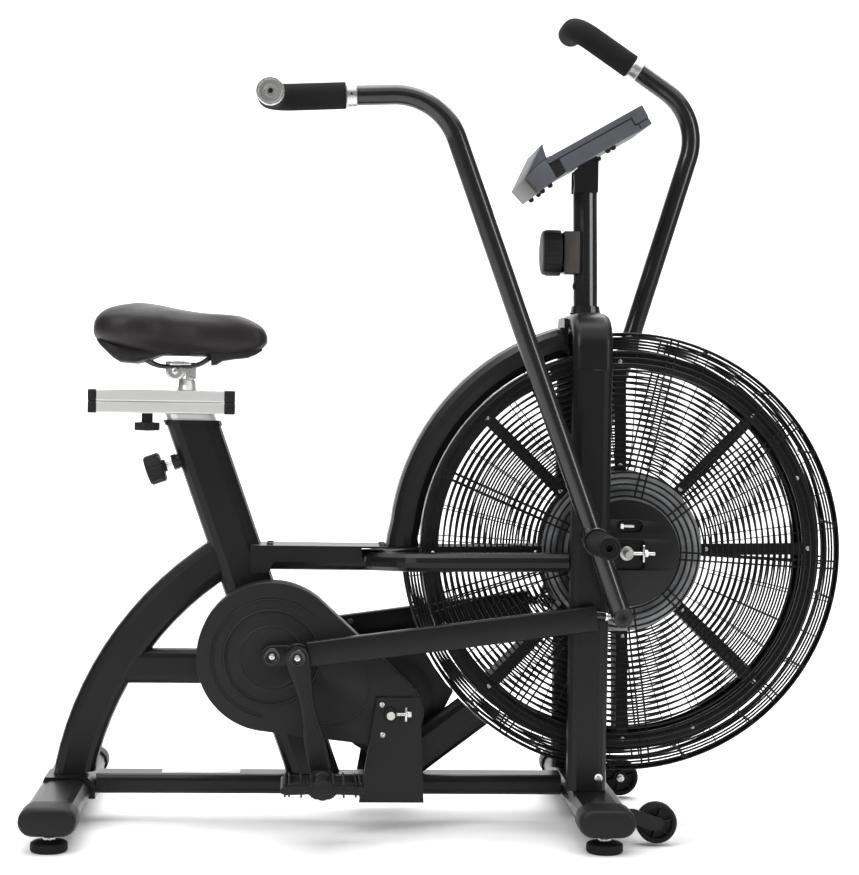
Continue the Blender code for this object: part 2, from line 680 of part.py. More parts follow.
def build_pedal(side, sign, centre):
    """Platform pedal on its axle, square to the ground."""
    half = 0.0500
    middle = centre + Y_AXIS * sign * 0.2080
    body = plate(f"pedal_{side}", [(centre.x - half, centre.z - 0.011),
                                   (centre.x + half, centre.z - 0.011),
                                   (centre.x + half + 0.006, centre.z),
                                   (centre.x + half, centre.z + 0.011),
                                   (centre.x - half, centre.z + 0.011),
                                   (centre.x - half - 0.006, centre.z)],
                 sign * 0.1600, sign * 0.2560, PLASTIC, origin=centre)
    windows = []
    for offset in (-0.030, 0.030):
        window = plate("window", [(centre.x + offset - 0.014, centre.z - 0.02),
                                  (centre.x + offset + 0.014, centre.z - 0.02),
                                  (centre.x + offset + 0.014, centre.z + 0.02),
                                  (centre.x + offset - 0.014, centre.z + 0.02)],
                       middle.y - 0.034, middle.y + 0.034, PLASTIC)
        windows.append(window)
    combine(body, windows, "DIFFERENCE")
    stub = rod("stub", centre + Y_AXIS * sign * (0.1520 + GAP),
               centre + Y_AXIS * sign * 0.170, 0.0070, ZINC)
    combine(body, [stub])
    if sign > 0:
        body.data.transform(Matrix.Rotation(FAR_PEDAL_TURN, 4, "Y"))


# ---- levers ---------------------------------------------------------------------------
def lever_foot(sign):
    """Where the rod's far end meets the lever: rod and lever arm both reach it."""
    pin = eccentric(sign)
    span = LEVER_PIVOT - pin
    distance = math.hypot(span.x, span.z)
    along = (ROD_LENGTH ** 2 - LEVER_ARM ** 2 + distance ** 2) / (2 * distance)
    off = math.sqrt(ROD_LENGTH ** 2 - along ** 2)
    ux = span.x / distance
    uz = span.z / distance
    return Vector((pin.x + ux * along + uz * off, 0, pin.z + uz * along - ux * off))


def lever_frame(sign):
    """Up and forward directions of a lever at rest."""
    up = (LEVER_PIVOT - lever_foot(sign)).normalized()
    return up, Vector((up.z, 0, -up.x))


def lever_point(sign, forward, up, out=0.0):
    """A point given in a lever's own directions."""
    along, ahead = lever_frame(sign)
    return LEVER_PIVOT + Y_AXIS * sign * (LEVER_Y + out) + along * up + ahead * forward


def build_pushrods():
    """Flat bar with an eye at the crank and a rod end at the lever."""
    for side, sign in SIDES:
        pin = eccentric(sign)
        foot = lever_foot(sign)
        line = (foot - pin).normalized()
        across = Vector((-line.z, 0, line.x))
        half = 0.0190
        stop = foot - line * 0.022
        outline = []
        for i in range(9):
            angle = math.radians(90 + 180 * i / 8)
            spot = pin + line * half * math.cos(angle) + across * half * math.sin(angle)
            outline.append((spot.x, spot.z))
        for offset in (-half, half):
            spot = stop + across * offset
            outline.append((spot.x, spot.z))
        low = sorted((sign * (ROD_Y - 0.008), sign * (ROD_Y + 0.008)))
        bar = plate(f"pushrod_{side}", outline, low[0], low[1], BLACK,
                    [disc_outline(pin, 0.0083, 20)], origin=pin + Y_AXIS * sign * ROD_Y)
        at = Y_AXIS * sign * ROD_Y
        shank = rod("shank", stop - line * 0.004 + at, foot - line * 0.006 + at, 0.0055, ZINC)
        eye = plate("eye", disc_outline(foot, 0.0110, 20), low[0] + 0.002, low[1] - 0.002, ZINC)
        combine(bar, [shank, eye])


def build_levers():
    corner_up = 0.689
    tilt = math.radians(17.5)
    radius = 0.095
    tangent = radius * math.tan((math.pi / 2 - tilt) / 2)
    for side, sign in SIDES:
        path = [lever_point(sign, 0, -LEVER_ARM - 0.006), lever_point(sign, 0, corner_up - tangent)]
        for i in range(1, 9):
            turn = (math.pi / 2 - tilt) * i / 8
            path.append(lever_point(sign, -radius * (1 - math.cos(turn)),
                                    corner_up - tangent + radius * math.sin(turn)))
        path.append(lever_point(sign, -0.1310, 0.7302))
        pivot = LEVER_PIVOT + Y_AXIS * sign * LEVER_Y
        lever = sweep(f"lever_{side}", path, circle(LEVER_R), Y_AXIS, BLACK, origin=pivot)
        barrel = rod("barrel", LEVER_PIVOT + Y_AXIS * sign * 0.1120,
                     LEVER_PIVOT + Y_AXIS * sign * 0.1660, 0.0205, BLACK, 24)
        combine(lever, [barrel])
        bore = rod("bore", LEVER_PIVOT, LEVER_PIVOT + Y_AXIS * sign * 0.2, 0.0095, BLACK, 20)
        combine(lever, [bore], "DIFFERENCE")
        build_grip(side, sign, pivot)
        build_peg(side, sign)


def build_grip(side, sign, pivot):
    """Foam grip: straight from the ring, then turned outwards."""
    ring_at = lever_point(sign, -0.1310, 0.7302)
    corner = lever_point(sign, -0.2350, 0.7620)
    ahead = (corner - ring_at).normalized()
    start = ring_at + ahead * 0.0010
    bend = 0.030
    begin = corner - ahead * bend
    path = [start, start + (begin - start) * 0.5]
    for i in range(7):
        turn = math.radians(90 * i / 6)
        path.append(begin + ahead * bend * math.sin(turn)
                    + Y_AXIS * sign * bend * (1 - math.cos(turn)))
    path.append(corner + Y_AXIS * sign * 0.0780)
    up = lever_frame(sign)[0]
    sweep(f"grip_{side}", path, circle(0.0195), up, FOAM, origin=pivot)


def build_peg(side, sign):
    """Stub axle of the lever with the foot peg screwed on its end."""
    face = MAST_Y + MAST_TUBE[1] / 2 + GAP
    profile = [(0, face), (0.0090, face), (0.0090, 0.1680), (0.0170, 0.1680),
               (0.0170, PEG_END), (0, PEG_END)]
    turned(f"foot_peg_{side}", profile, LEVER_PIVOT, Y_AXIS * sign, RUBBER, 24)


# ---- fan ------------------------------------------------------------------------------
def build_hub_plates():
    """Round plates on the mast's legs that carry the fan axle."""
    for side, sign in SIDES:
        disc = disc_outline(FAN, 0.0800, 36)
        bore = disc_outline(FAN, 0.0065, 16)
        slot = [(FAN.x + u, FAN.z + 0.040 + v) for u, v in oval(0.038, 0.018)]
        plate(f"hub_plate_{side}", disc, sign * 0.0700, sign * (MAST_Y - MAST_TUBE[1] / 2 - GAP),
              BLACK, [bore, slot])


def build_axle():
    rod("fan_axle", FAN - Y_AXIS * 0.1150, FAN + Y_AXIS * 0.1150, 0.0060, ZINC)


def build_fan():
    """Hub with two discs, and the wheel: an inner ring, blades and a rim."""
    turned("fan_hub", [(0.0066, -0.0560), (0.0200, -0.0560), (0.0200, -0.0360), (0.1220, -0.0360),
                       (0.1220, -0.0330), (0.0400, -0.0330), (0.0400, 0.0330), (0.1220, 0.0330),
                       (0.1220, 0.0360), (0.0200, 0.0360), (0.0200, 0.0560), (0.0066, 0.0560)],
           FAN, Y_AXIS, GALVANISED, 36)
    half = 0.0300
    skin = 0.0030
    profile = [(WHEEL_INNER_R, -half), (WHEEL_R, -half), (WHEEL_R, half), (WHEEL_INNER_R, half),
               (WHEEL_INNER_R, half - skin), (WHEEL_R - skin, half - skin),
               (WHEEL_R - skin, -half + skin), (WHEEL_INNER_R, -half + skin)]
    wheel = turned("fan_wheel", profile, FAN, Y_AXIS, BLACK, 48)
    parts = [turned("ring", [(0.0405, -0.0320), (0.0480, -0.0320), (0.0480, 0.0320),
                             (0.0405, 0.0320)], FAN, Y_AXIS, GALVANISED, 24)]
    for index in range(BLADES):
        parts.append(blade(math.radians(1.0 + 45 * index)))
    combine(wheel, parts)


def blade(angle):
    """One blade: an L-section bar, with a flange facing the rider's right."""
    out = Vector((math.cos(angle), 0, math.sin(angle)))
    over = Vector((-out.z, 0, out.x))
    section = ((-0.0080, -0.0290), (0.0100, -0.0290), (0.0100, -0.0272), (-0.0062, -0.0272),
               (-0.0062, 0.0280), (-0.0080, 0.0280))
    vertices = []
    for reach in (0.0445, WHEEL_R - 0.0015):
        vertices += [FAN + out * reach + over * u + Y_AXIS * v for u, v in section]
    faces = [tuple(range(6)), tuple(range(6, 12))]
    for i in range(6):
        j = (i + 1) % 6
        faces.append((i, j, 6 + j, 6 + i))
    return make("blade", vertices, faces, GALVANISED)


def build_guard(side, sign):
    """Wire guard of one side as one body: rings and spokes cut from a dished sheet."""
    face = 0.0640
    thick = 0.0030
    stations = [(0.0810, face, True), (0.0860, face, False), (0.1460, face, True),
                (0.1490, face, False), (0.2100, face, True), (0.2130, face, False),
                (0.2730, face, True), (0.2760, face, False), (0.3050, 0.0610, True),
                (CAGE_R / math.cos(math.radians(2.1)), 0.0500, False)]
    spokes = 9
    parts = 3
    angles = []
    for s in range(spokes):
        centre = math.radians(-3 + 40 * s)
        half = math.radians(0.9)
        angles.append(centre - half)
        angles.append(centre + half)
        for k in range(1, parts):
            angles.append(centre + half + (math.radians(40) - 2 * half) * k / parts)
    columns = len(angles)
    spoke_column = [i % (parts + 1) == 0 for i in range(columns)]
    rows = len(stations)
    vertices = []
    for lift in (0.0, thick):
        for radius, y, _ in stations:
            for angle in angles:
                vertices.append(FAN + Vector((radius * math.cos(angle), sign * (y + lift),
                                              radius * math.sin(angle))))
    layer = rows * columns

    def solid(row, column):
        if row < 0 or row >= rows - 1:
            return False
        return stations[row][2] or spoke_column[column % columns]

    faces = []
    for row in range(rows - 1):
        for column in range(columns):
            if not solid(row, column):
                continue
            nxt = (column + 1) % columns
            a = row * columns + column
            b = row * columns + nxt
            c = (row + 1) * columns + nxt
            d = (row + 1) * columns + column
            faces.append((a, b, c, d))
            faces.append((layer + a, layer + b, layer + c, layer + d))
            if not solid(row - 1, column):
                faces.append((a, b, layer + b, layer + a))
            if not solid(row + 1, column):
                faces.append((d, c, layer + c, layer + d))
            if not solid(row, column - 1):
                faces.append((a, d, layer + d, layer + a))
            if not solid(row, column + 1):
                faces.append((b, c, layer + c, layer + b))
    make(f"guard_{side}", vertices, faces, BLACK)


# ---- console --------------------------------------------------------------------------
def build_console():
    foot = MAST_TOP + MAST_TUBE[1] / 2 + GAP
    top = CONSOLE_HINGE.z - 0.0185
    post = rod("console_post", (POST_X, 0, foot + 0.002), (CONSOLE_HINGE.x, 0, top), POST_R, BLACK, 24)
    sleeve = turned("sleeve", [(0, foot), (0.0230, foot), (0.0215, foot + 0.012),
                               (0, foot + 0.012)], (POST_X, 0, 0), Z_AXIS, PLASTIC)
    block = plate("block", [(POST_X - 0.036, 0.8370), (POST_X - 0.010, 0.8370),
                            (POST_X - 0.010, 0.9010), (POST_X - 0.036, 0.9010)],
                  -0.020, 0.020, PLASTIC)
    combine(post, [sleeve, block])
    along = Vector((math.cos(CONSOLE_TILT), 0, math.sin(CONSOLE_TILT)))
    normal = Vector((-along.z, 0, along.x))

    def spot(u, v):
        point = CONSOLE_HINGE + along * u + normal * v
        return (point.x, point.z)

    outline = [spot(-0.1027, -0.0088), spot(-0.0660, -0.0035), spot(-0.0300, -0.0015),
               spot(0.0990, -0.0015), spot(0.0990, 0.0305), spot(-0.0660, 0.0290),
               spot(-0.0585, 0.0492), spot(-0.0611, 0.0512), spot(-0.1091, 0.0184)]
    console = plate("console", outline, -0.1000, 0.1000, SLATE, origin=CONSOLE_HINGE)
    barrel = rod("barrel", CONSOLE_HINGE - Y_AXIS * 0.0180, CONSOLE_HINGE + Y_AXIS * 0.0180,
                 0.0175, PLASTIC)
    combine(console, [barrel])
    knob_x = POST_X - 0.036 - GAP
    turned("console_knob", [(0, 0), (0.0200, 0), (0.0330, 0.004), (0.0350, 0.010), (0.0350, 0.030),
                            (0.0320, 0.0335), (0, 0.0335)], (knob_x, 0, 0.8685), -X_AXIS,
           PLASTIC, 24)


# ---- seat -----------------------------------------------------------------------------
RAIL_REAR = -0.5352
RAIL_FRONT = -0.3167
RAIL_SPLIT = 0.6330
RAIL_DEPTH = 0.0176


def build_seat_post():
    bottom = seat_axis(SEAT_CAVITY_Z + 0.012)
    top = seat_axis(RAIL_SPLIT - RAIL_DEPTH - GAP + 0.02)
    inside = oval(SEAT_TUBE[0] - 2 * WALL - 0.001, SEAT_TUBE[1] - 2 * WALL - 0.001)
    post = sweep("seat_post", [bottom, top], inside, Y_AXIS, ALU, origin=seat_axis(SEAT_TOP_Z))
    limit = RAIL_SPLIT - RAIL_DEPTH - GAP
    above = plate("above", [(-0.6, limit), (-0.2, limit), (-0.2, 0.8), (-0.6, 0.8)],
                  -0.1, 0.1, ALU)
    combine(post, [above], "DIFFERENCE")


def build_rails():
    """Two stacked extrusions; the upper one carries the saddle's stub."""
    low = RAIL_SPLIT - RAIL_DEPTH
    outline = rounded(RAIL_DEPTH - GAP, 0.040, 0.002)
    sweep("lower_rail", [(RAIL_REAR, 0, low + RAIL_DEPTH / 2), (RAIL_FRONT, 0, low + RAIL_DEPTH / 2)],
          outline, Y_AXIS, ALU)
    high = RAIL_SPLIT + RAIL_DEPTH / 2
    upper = sweep("upper_rail", [(RAIL_REAR, 0, high), (RAIL_FRONT, 0, high)], outline, Y_AXIS, ALU)
    stub = rod("stub", (STUB_X, 0, RAIL_SPLIT + 0.010), (STUB_X, 0, 0.6690), 0.0110, ALU)
    combine(upper, [stub])


STUB_X = -0.3885
CLAMP = Vector((-0.3985, 0.0, 0.6825))


def build_saddle():
    """Saddle top, hard base under it, and the clamp with the two rails."""
    clamp = rod("saddle_clamp", CLAMP - Y_AXIS * 0.0250, CLAMP + Y_AXIS * 0.0250, 0.0120, ZINC)
    rails = []
    for sign in (-1, 1):
        path = [(-0.4560, sign * 0.040, 0.7020), (-0.4400, sign * 0.032, 0.6900),
                (-0.4250, sign * 0.022, 0.6850), (-0.3850, sign * 0.020, 0.6860),
                (-0.3650, sign * 0.018, 0.6930), (-0.3450, sign * 0.012, 0.7020)]
        rails.append(sweep("rail", path, circle(0.0035, 8), Z_AXIS, BLACK))
    combine(clamp, rails)
    build_saddle_shell("saddle_base", BASE_STATIONS, PLASTIC)
    build_saddle_shell("saddle", SADDLE_STATIONS, VINYL)


# x, half width, bottom z and top z of sections along the saddle
SADDLE_STATIONS = ((-0.5290, 0.030, 0.7270, 0.7480), (-0.5230, 0.060, 0.7200, 0.7640),
                   (-0.5050, 0.082, 0.7160, 0.7760), (-0.4700, 0.094, 0.7120, 0.7790),
                   (-0.4350, 0.090, 0.7110, 0.7770), (-0.4000, 0.066, 0.7110, 0.7710),
                   (-0.3650, 0.042, 0.7110, 0.7665), (-0.3250, 0.033, 0.7110, 0.7640),
                   (-0.2950, 0.029, 0.7120, 0.7600), (-0.2750, 0.021, 0.7170, 0.7500),
                   (-0.2680, 0.009, 0.7240, 0.7400))
BASE_STATIONS = ((-0.5150, 0.045, 0.7050, 0.7100), (-0.4900, 0.065, 0.6960, 0.7095),
                 (-0.4550, 0.070, 0.7055, 0.7095), (-0.4200, 0.050, 0.7055, 0.7095),
                 (-0.3700, 0.030, 0.7055, 0.7095), (-0.3200, 0.026, 0.7055, 0.7095),
                 (-0.2850, 0.018, 0.7070, 0.7100))


def build_saddle_shell(name, stations, spec):
    """A body lofted through half-round sections."""
    steps = 10
    vertices = []
    for x, half, low, top in stations:
        for i in range(steps):
            angle = 2 * math.pi * i / steps
            v = math.sin(angle)
            u = math.copysign(abs(math.cos(angle)) ** 0.7, math.cos(angle))
            w = math.copysign(abs(v) ** 0.7, v)
            vertices.append((x, half * u, (low + top) / 2 + (top - low) / 2 * w))
    faces = []
    for row in range(len(stations) - 1):
        for i in range(steps):
            j = (i + 1) % steps
            a = row * steps
            b = a + steps
            faces.append((a + i, a + j, b + j, b + i))
    faces.append(tuple(range(steps)))
    faces.append(tuple(range((len(stations) - 1) * steps, len(stations) * steps)))
    make(name, vertices, faces, spec, CLAMP)


def build_knobs():
    """Pull-pin knob on the seat tube, and the clamping knob under the rail."""
    at = seat_axis(0.5570) - SEAT_NORMAL * (SEAT_TUBE[0] / 2 + 0.010 + GAP)
    turned("height_pin", [(0, -0.0120), (0.0043, -0.0120), (0.0043, 0.0100), (0.0100, 0.0100),
                          (0.0100, 0.0145), (0.0205, 0.0150), (0.0225, 0.0180),
                          (0.0225, 0.0370), (0.0205, 0.0400), (0, 0.0415)], at, -SEAT_NORMAL,
           PLASTIC, 20)
    turned("slide_knob", [(0, 0), (0.0085, 0), (0.0085, -0.0130), (0.0185, -0.0135),
                          (0.0190, -0.0250), (0, -0.0265)],
           (-0.4480, 0, RAIL_SPLIT - RAIL_DEPTH - GAP), Z_AXIS, PLASTIC, 20)


def build_all():
    clear_scene()
    build_stabilisers()
    build_feet()
    build_transport_wheels()
    build_rail()
    build_rear_frame()
    build_brace()
    build_seat_tube()
    build_top_channel()
    build_arch()
    build_side_tubes()
    build_mast()
    build_strut()
    build_chain_cover()
    build_crank_axle()
    build_intermediate()
    build_second_cover()
    build_bracket_plates()
    build_cranks()
    build_pushrods()
    build_levers()
    build_hub_plates()
    build_axle()
    build_fan()
    for side, sign in SIDES:
        build_guard(side, sign)
    build_console()
    build_seat_post()
    build_rails()
    build_saddle()
    build_knobs()


build_all()
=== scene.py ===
"""Air bike: surfaces, wires, soft saddle and materials on the fixed frame."""

import math

import bmesh
import bpy
from mathutils import Matrix, Vector
from mathutils.geometry import tessellate_polygon


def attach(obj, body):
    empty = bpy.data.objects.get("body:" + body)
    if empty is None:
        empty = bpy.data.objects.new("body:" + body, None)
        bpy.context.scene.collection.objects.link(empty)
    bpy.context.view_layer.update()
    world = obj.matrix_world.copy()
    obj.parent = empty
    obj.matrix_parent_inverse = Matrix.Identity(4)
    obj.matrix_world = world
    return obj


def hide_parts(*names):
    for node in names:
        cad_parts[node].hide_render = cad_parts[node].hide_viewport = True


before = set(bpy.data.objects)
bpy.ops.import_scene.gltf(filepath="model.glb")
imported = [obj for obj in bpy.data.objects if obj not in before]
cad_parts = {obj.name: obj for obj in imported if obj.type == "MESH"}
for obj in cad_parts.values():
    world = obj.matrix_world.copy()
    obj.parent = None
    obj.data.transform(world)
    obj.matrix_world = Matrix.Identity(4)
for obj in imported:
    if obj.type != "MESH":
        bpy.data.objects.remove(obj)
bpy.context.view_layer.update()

GAP = 0.0003
BB = Vector((-0.2535, 0.0, 0.2625))
FAN = Vector((0.2725, 0.0, 0.417))
LAY = Vector((-0.078, 0.0, 0.177))
CAGE_R = 0.331
THROW = 0.0372
CRANK_ANGLE = math.radians(4.0)
PEDAL_ARM = 0.178
PEDAL_ANGLE = math.radians(-77.7)
FAR_PEDAL_TURN = math.radians(70.0)
ROD_LENGTH = 0.4781
ROD_Y = 0.126
LEVER_Y = 0.15
LEVER_ARM = 0.118
LEVER_PIVOT = Vector((0.217, 0.0, 0.4395))
CONSOLE_HINGE = Vector((0.2115, 0.0, 1.008))
CONSOLE_TILT = math.radians(30.0)
SEAT_LEAN = math.radians(19.6)
SEAT_NORMAL = Vector((math.cos(SEAT_LEAN), 0.0, math.sin(SEAT_LEAN)))
CLAMP = Vector((-0.3985, 0.0, 0.6825))
X_AXIS = Vector((1, 0, 0))
Y_AXIS = Vector((0, 1, 0))
Z_AXIS = Vector((0, 0, 1))
SIDES = (("near", -1), ("far", 1))
CAMERA_PLACE = Vector((-0.2145, -3.2493, 0.6635))
CAMERA_YAW = math.radians(3.424)
CAMERA_PITCH = math.radians(-1.392)
CAMERA_ROLL = math.radians(0.86)
LENS = 87.91
SENSOR_WIDTH = 36
FLOOR_FRONT = -3.9
FLOOR_HALF_WIDTH = 3.2
CURVE_START = 2.2
CURVE_RADIUS = 1.6
CURVE_STEPS = 12
WALL_TOP = 6.0
WORLD_LIGHT = 0.22


# ---- materials --------------------------------------------------------------------------
def shader(name, colour, rough, metallic=0.0, spread=0.0, grain=900.0, bump=0.0, rough_spread=0.08,
        stretch=(1, 1, 1), coat=0.0, cells=0.0, broad=6.0, sheen=0.5):
    """Procedural finish: broad colour variation, fine grain and an optional cell pattern."""
    made = bpy.data.materials.new(name)
    made.use_nodes = True
    tree = made.node_tree
    base = tree.nodes["Principled BSDF"]
    base.inputs["Metallic"].default_value = metallic
    base.inputs["Coat Weight"].default_value = coat
    base.inputs["Specular IOR Level"].default_value = sheen
    base.inputs["Coat Roughness"].default_value = 0.12
    where = tree.nodes.new("ShaderNodeTexCoord")
    place = tree.nodes.new("ShaderNodeMapping")
    place.inputs["Scale"].default_value = stretch
    tree.links.new(where.outputs["Object"], place.inputs["Vector"])
    wide = tree.nodes.new("ShaderNodeTexNoise")
    wide.inputs["Scale"].default_value = broad
    wide.inputs["Detail"].default_value = 5.0
    tree.links.new(place.outputs["Vector"], wide.inputs["Vector"])
    fine = tree.nodes.new("ShaderNodeTexNoise")
    fine.inputs["Scale"].default_value = grain
    fine.inputs["Detail"].default_value = 2.0
    tree.links.new(place.outputs["Vector"], fine.inputs["Vector"])
    ramp = tree.nodes.new("ShaderNodeValToRGB")
    low = [max(c * (1 - spread), 0.0) for c in colour]
    high = [min(c * (1 + spread), 1.0) for c in colour]
    ramp.color_ramp.elements[0].position = 0.3
    ramp.color_ramp.elements[0].color = (*low, 1.0)
    ramp.color_ramp.elements[1].position = 0.7
    ramp.color_ramp.elements[1].color = (*high, 1.0)
    tree.links.new(wide.outputs["Fac"], ramp.inputs["Fac"])
    tree.links.new(ramp.outputs["Color"], base.inputs["Base Color"])
    level = tree.nodes.new("ShaderNodeMapRange")
    level.inputs["To Min"].default_value = max(rough - rough_spread, 0.03)
    level.inputs["To Max"].default_value = min(rough + rough_spread, 1.0)
    tree.links.new(fine.outputs["Fac"], level.inputs["Value"])
    tree.links.new(level.outputs["Result"], base.inputs["Roughness"])
    if bump > 0:
        dent = tree.nodes.new("ShaderNodeBump")
        dent.inputs["Strength"].default_value = 0.6
        dent.inputs["Distance"].default_value = bump
        height = fine.outputs["Fac"]
        if cells:
            cell = tree.nodes.new("ShaderNodeTexVoronoi")
            cell.inputs["Scale"].default_value = cells
            tree.links.new(place.outputs["Vector"], cell.inputs["Vector"])
            height = cell.outputs["Distance"]
        tree.links.new(height, dent.inputs["Height"])
        tree.links.new(dent.outputs["Normal"], base.inputs["Normal"])
    return made


MATERIALS = {
    "powder": shader("powder_coat", (0.006, 0.0058, 0.0056), 0.34, spread=0.14, grain=900, bump=0.00002,
                     rough_spread=0.04, sheen=0.22),
    "gloss": shader("gloss_coat", (0.006, 0.0058, 0.0058), 0.25, spread=0.12, grain=500, bump=0.00001,
                    rough_spread=0.03, coat=0.25, sheen=0.42),
    "wire": shader("wire_coat", (0.006, 0.0056, 0.0052), 0.42, spread=0.25, grain=500, bump=0.00005,
                   sheen=0.15),
    "plastic": shader("black_plastic", (0.0075, 0.0073, 0.0073), 0.5, spread=0.12, grain=1500,
                      bump=0.00012, sheen=0.2),
    "cover": shader("cover_plastic", (0.0085, 0.0082, 0.008), 0.47, spread=0.12, grain=1100, bump=0.00016,
                    cells=900, sheen=0.22),
    "slate": shader("slate_plastic", (0.058, 0.062, 0.072), 0.5, spread=0.18, grain=1300, bump=0.0001,
                    broad=14, sheen=0.35),
    "slate_dark": shader("slate_shadow", (0.02, 0.021, 0.024), 0.6, spread=0.2, grain=1200,
                         bump=0.0001, broad=18, sheen=0.2),
    "brown": shader("end_plastic", (0.045, 0.04, 0.037), 0.5, spread=0.3, grain=1200, bump=0.0001,
                    broad=18, sheen=0.3),
    "screen": shader("screen", (0.006, 0.007, 0.009), 0.16, spread=0.2, grain=300, coat=0.5),
    "vinyl": shader("vinyl", (0.011, 0.0096, 0.0092), 0.44, spread=0.16, grain=900, bump=0.00022,
                    cells=620, broad=9, sheen=0.24),
    "shell": shader("shell_plastic", (0.011, 0.0098, 0.0094), 0.52, spread=0.1, grain=1000,
                    bump=0.00012, sheen=0.2),
    "foam": shader("grip_foam", (0.011, 0.0107, 0.0107), 0.88, spread=0.2, grain=1800, bump=0.00035,
                   cells=1500, sheen=0.1),
    "rubber": shader("rubber", (0.0075, 0.0072, 0.007), 0.66, spread=0.18, grain=1200, bump=0.00018,
                     sheen=0.15),
    "zinc": shader("zinc", (0.62, 0.63, 0.62), 0.3, metallic=1.0, spread=0.16, grain=500,
                   rough_spread=0.14, bump=0.00005, broad=60),
    "steel": shader("turned_steel", (0.5, 0.48, 0.46), 0.33, metallic=1.0, spread=0.14, grain=420,
                    rough_spread=0.12, stretch=(1, 8, 1), broad=40),
    "alu": shader("anodised_rail", (0.64, 0.64, 0.63), 0.36, metallic=0.65, spread=0.06, grain=260,
                  stretch=(0.05, 3, 3), rough_spread=0.07, bump=0.00003),
    "galvanised": shader("galvanised", (0.3, 0.31, 0.32), 0.42, metallic=0.85, spread=0.25,
                         grain=260, rough_spread=0.15, broad=34),
    "brownish": shader("aged_disc", (0.115, 0.098, 0.09), 0.5, metallic=0.65, spread=0.22,
                       grain=240, rough_spread=0.12, broad=30),
    "label": shader("blank_label", (0.62, 0.62, 0.61), 0.5, spread=0.1, grain=900, broad=50),
}


# ---- building tools ---------------------------------------------------------------------
def make(name, vertices, faces, finish, sharp=35):
    mesh = bpy.data.meshes.new(name)
    mesh.from_pydata([tuple(v) for v in vertices], [], faces)
    builder = bmesh.new()
    builder.from_mesh(mesh)
    bmesh.ops.recalc_face_normals(builder, faces=builder.faces)
    builder.to_mesh(mesh)
    builder.free()
    made = bpy.data.objects.new(name, mesh)
    mesh.materials.append(MATERIALS[finish])
    bpy.context.scene.collection.objects.link(made)
    shade(made, sharp)
    made["finish"] = finish
    return made


def shade(made, sharp=35):
    made.data.shade_smooth()
    made.data.set_sharp_from_angle(angle=math.radians(sharp))


def bake(made):
    """Applies a piece's modifiers."""
    bpy.context.view_layer.update()
    graph = bpy.context.evaluated_depsgraph_get()
    result = bpy.data.meshes.new_from_object(made.evaluated_get(graph))
    made.modifiers.clear()
    made.data = result
    return made


def bevel(made, width, segments=2, angle=32):
    step = made.modifiers.new("bevel", "BEVEL")
    step.width = width
    step.segments = segments
    step.limit_method = "ANGLE"
    step.angle_limit = math.radians(angle)
    bake(made)
    shade(made, 40)
    return made


def join(name, pieces):
    """One object from several, keeping each one's material."""
    builder = bmesh.new()
    materials = []
    for item in pieces:
        remap = []
        for held in item.data.materials:
            if held not in materials:
                materials.append(held)
            remap.append(materials.index(held))
        before = len(builder.faces)
        builder.from_mesh(item.data)
        builder.faces.ensure_lookup_table()
        for face in builder.faces[before:]:
            face.material_index = remap[face.material_index]
    mesh = bpy.data.meshes.new(name)
    builder.to_mesh(mesh)
    builder.free()
    finish = pieces[0]["finish"]
    for item in pieces:
        bpy.data.objects.remove(item)
    for held in materials:
        mesh.materials.append(held)
    made = bpy.data.objects.new(name, mesh)
    bpy.context.scene.collection.objects.link(made)
    shade(made, 38)
    made["finish"] = finish
    return made


def cut(made, others):
    for index, other in enumerate(others):
        step = made.modifiers.new(f"cut_{index}", "BOOLEAN")
        step.operation = "DIFFERENCE"
        step.solver = "EXACT"
        step.object = other
    bake(made)
    for other in others:
        bpy.data.objects.remove(other)
    shade(made, 38)
    return made


def settle(made, body, *nodes):
    """Gives a piece to its body, and lets it stand for CAD nodes."""
    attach(made, body)
    if nodes:
        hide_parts(*nodes)
    return made


def circle(radius, steps=24):
    turns = [2 * math.pi * i / steps for i in range(steps)]
    return [(radius * math.cos(t), radius * math.sin(t)) for t in turns]


def oval(width, depth, steps=12):
    radius = depth / 2
    reach = (width - depth) / 2
    points = []
    for centre, start in ((reach, -90), (-reach, 90)):
        for i in range(steps + 1):
            angle = math.radians(start + 180 * i / steps)
            points.append((centre + radius * math.cos(angle), radius * math.sin(angle)))
    return points


def rounded(width, depth, radius, steps=4):
    points = []
    for sx, sy, start in ((1, 1, 0), (-1, 1, 90), (-1, -1, 180), (1, -1, 270)):
        cx = sx * (width / 2 - radius)
        cy = sy * (depth / 2 - radius)
        for i in range(steps + 1):
            angle = math.radians(start + 90 * i / steps)
            points.append((cx + radius * math.cos(angle), cy + radius * math.sin(angle)))
    return points


def sweep(name, path, outline, side, finish, scales=None, closed=False):
    path = [Vector(p) for p in path]
    vertices = []
    side = Vector(side).normalized()
    total = len(path)
    for index, point in enumerate(path):
        if closed:
            before = path[index - 1]
            after = path[(index + 1) % total]
        else:
            before = path[max(index - 1, 0)]
            after = path[min(index + 1, total - 1)]
        along = (after - before).normalized()
        side = (side - along * side.dot(along)).normalized()
        first = side.cross(along).normalized()
        scale = scales[index] if scales else 1.0
        vertices += [point + (first * u + side * v) * scale for u, v in outline]
    count = len(outline)
    faces = []
    for index in range(total if closed else total - 1):
        nxt = (index + 1) % total
        for i in range(count):
            j = (i + 1) % count
            faces.append((index * count + i, index * count + j, nxt * count + j, nxt * count + i))
    if not closed:
        faces.append(tuple(range(count)))
        faces.append(tuple(range((total - 1) * count, total * count)))
    return make(name, vertices, faces, finish)


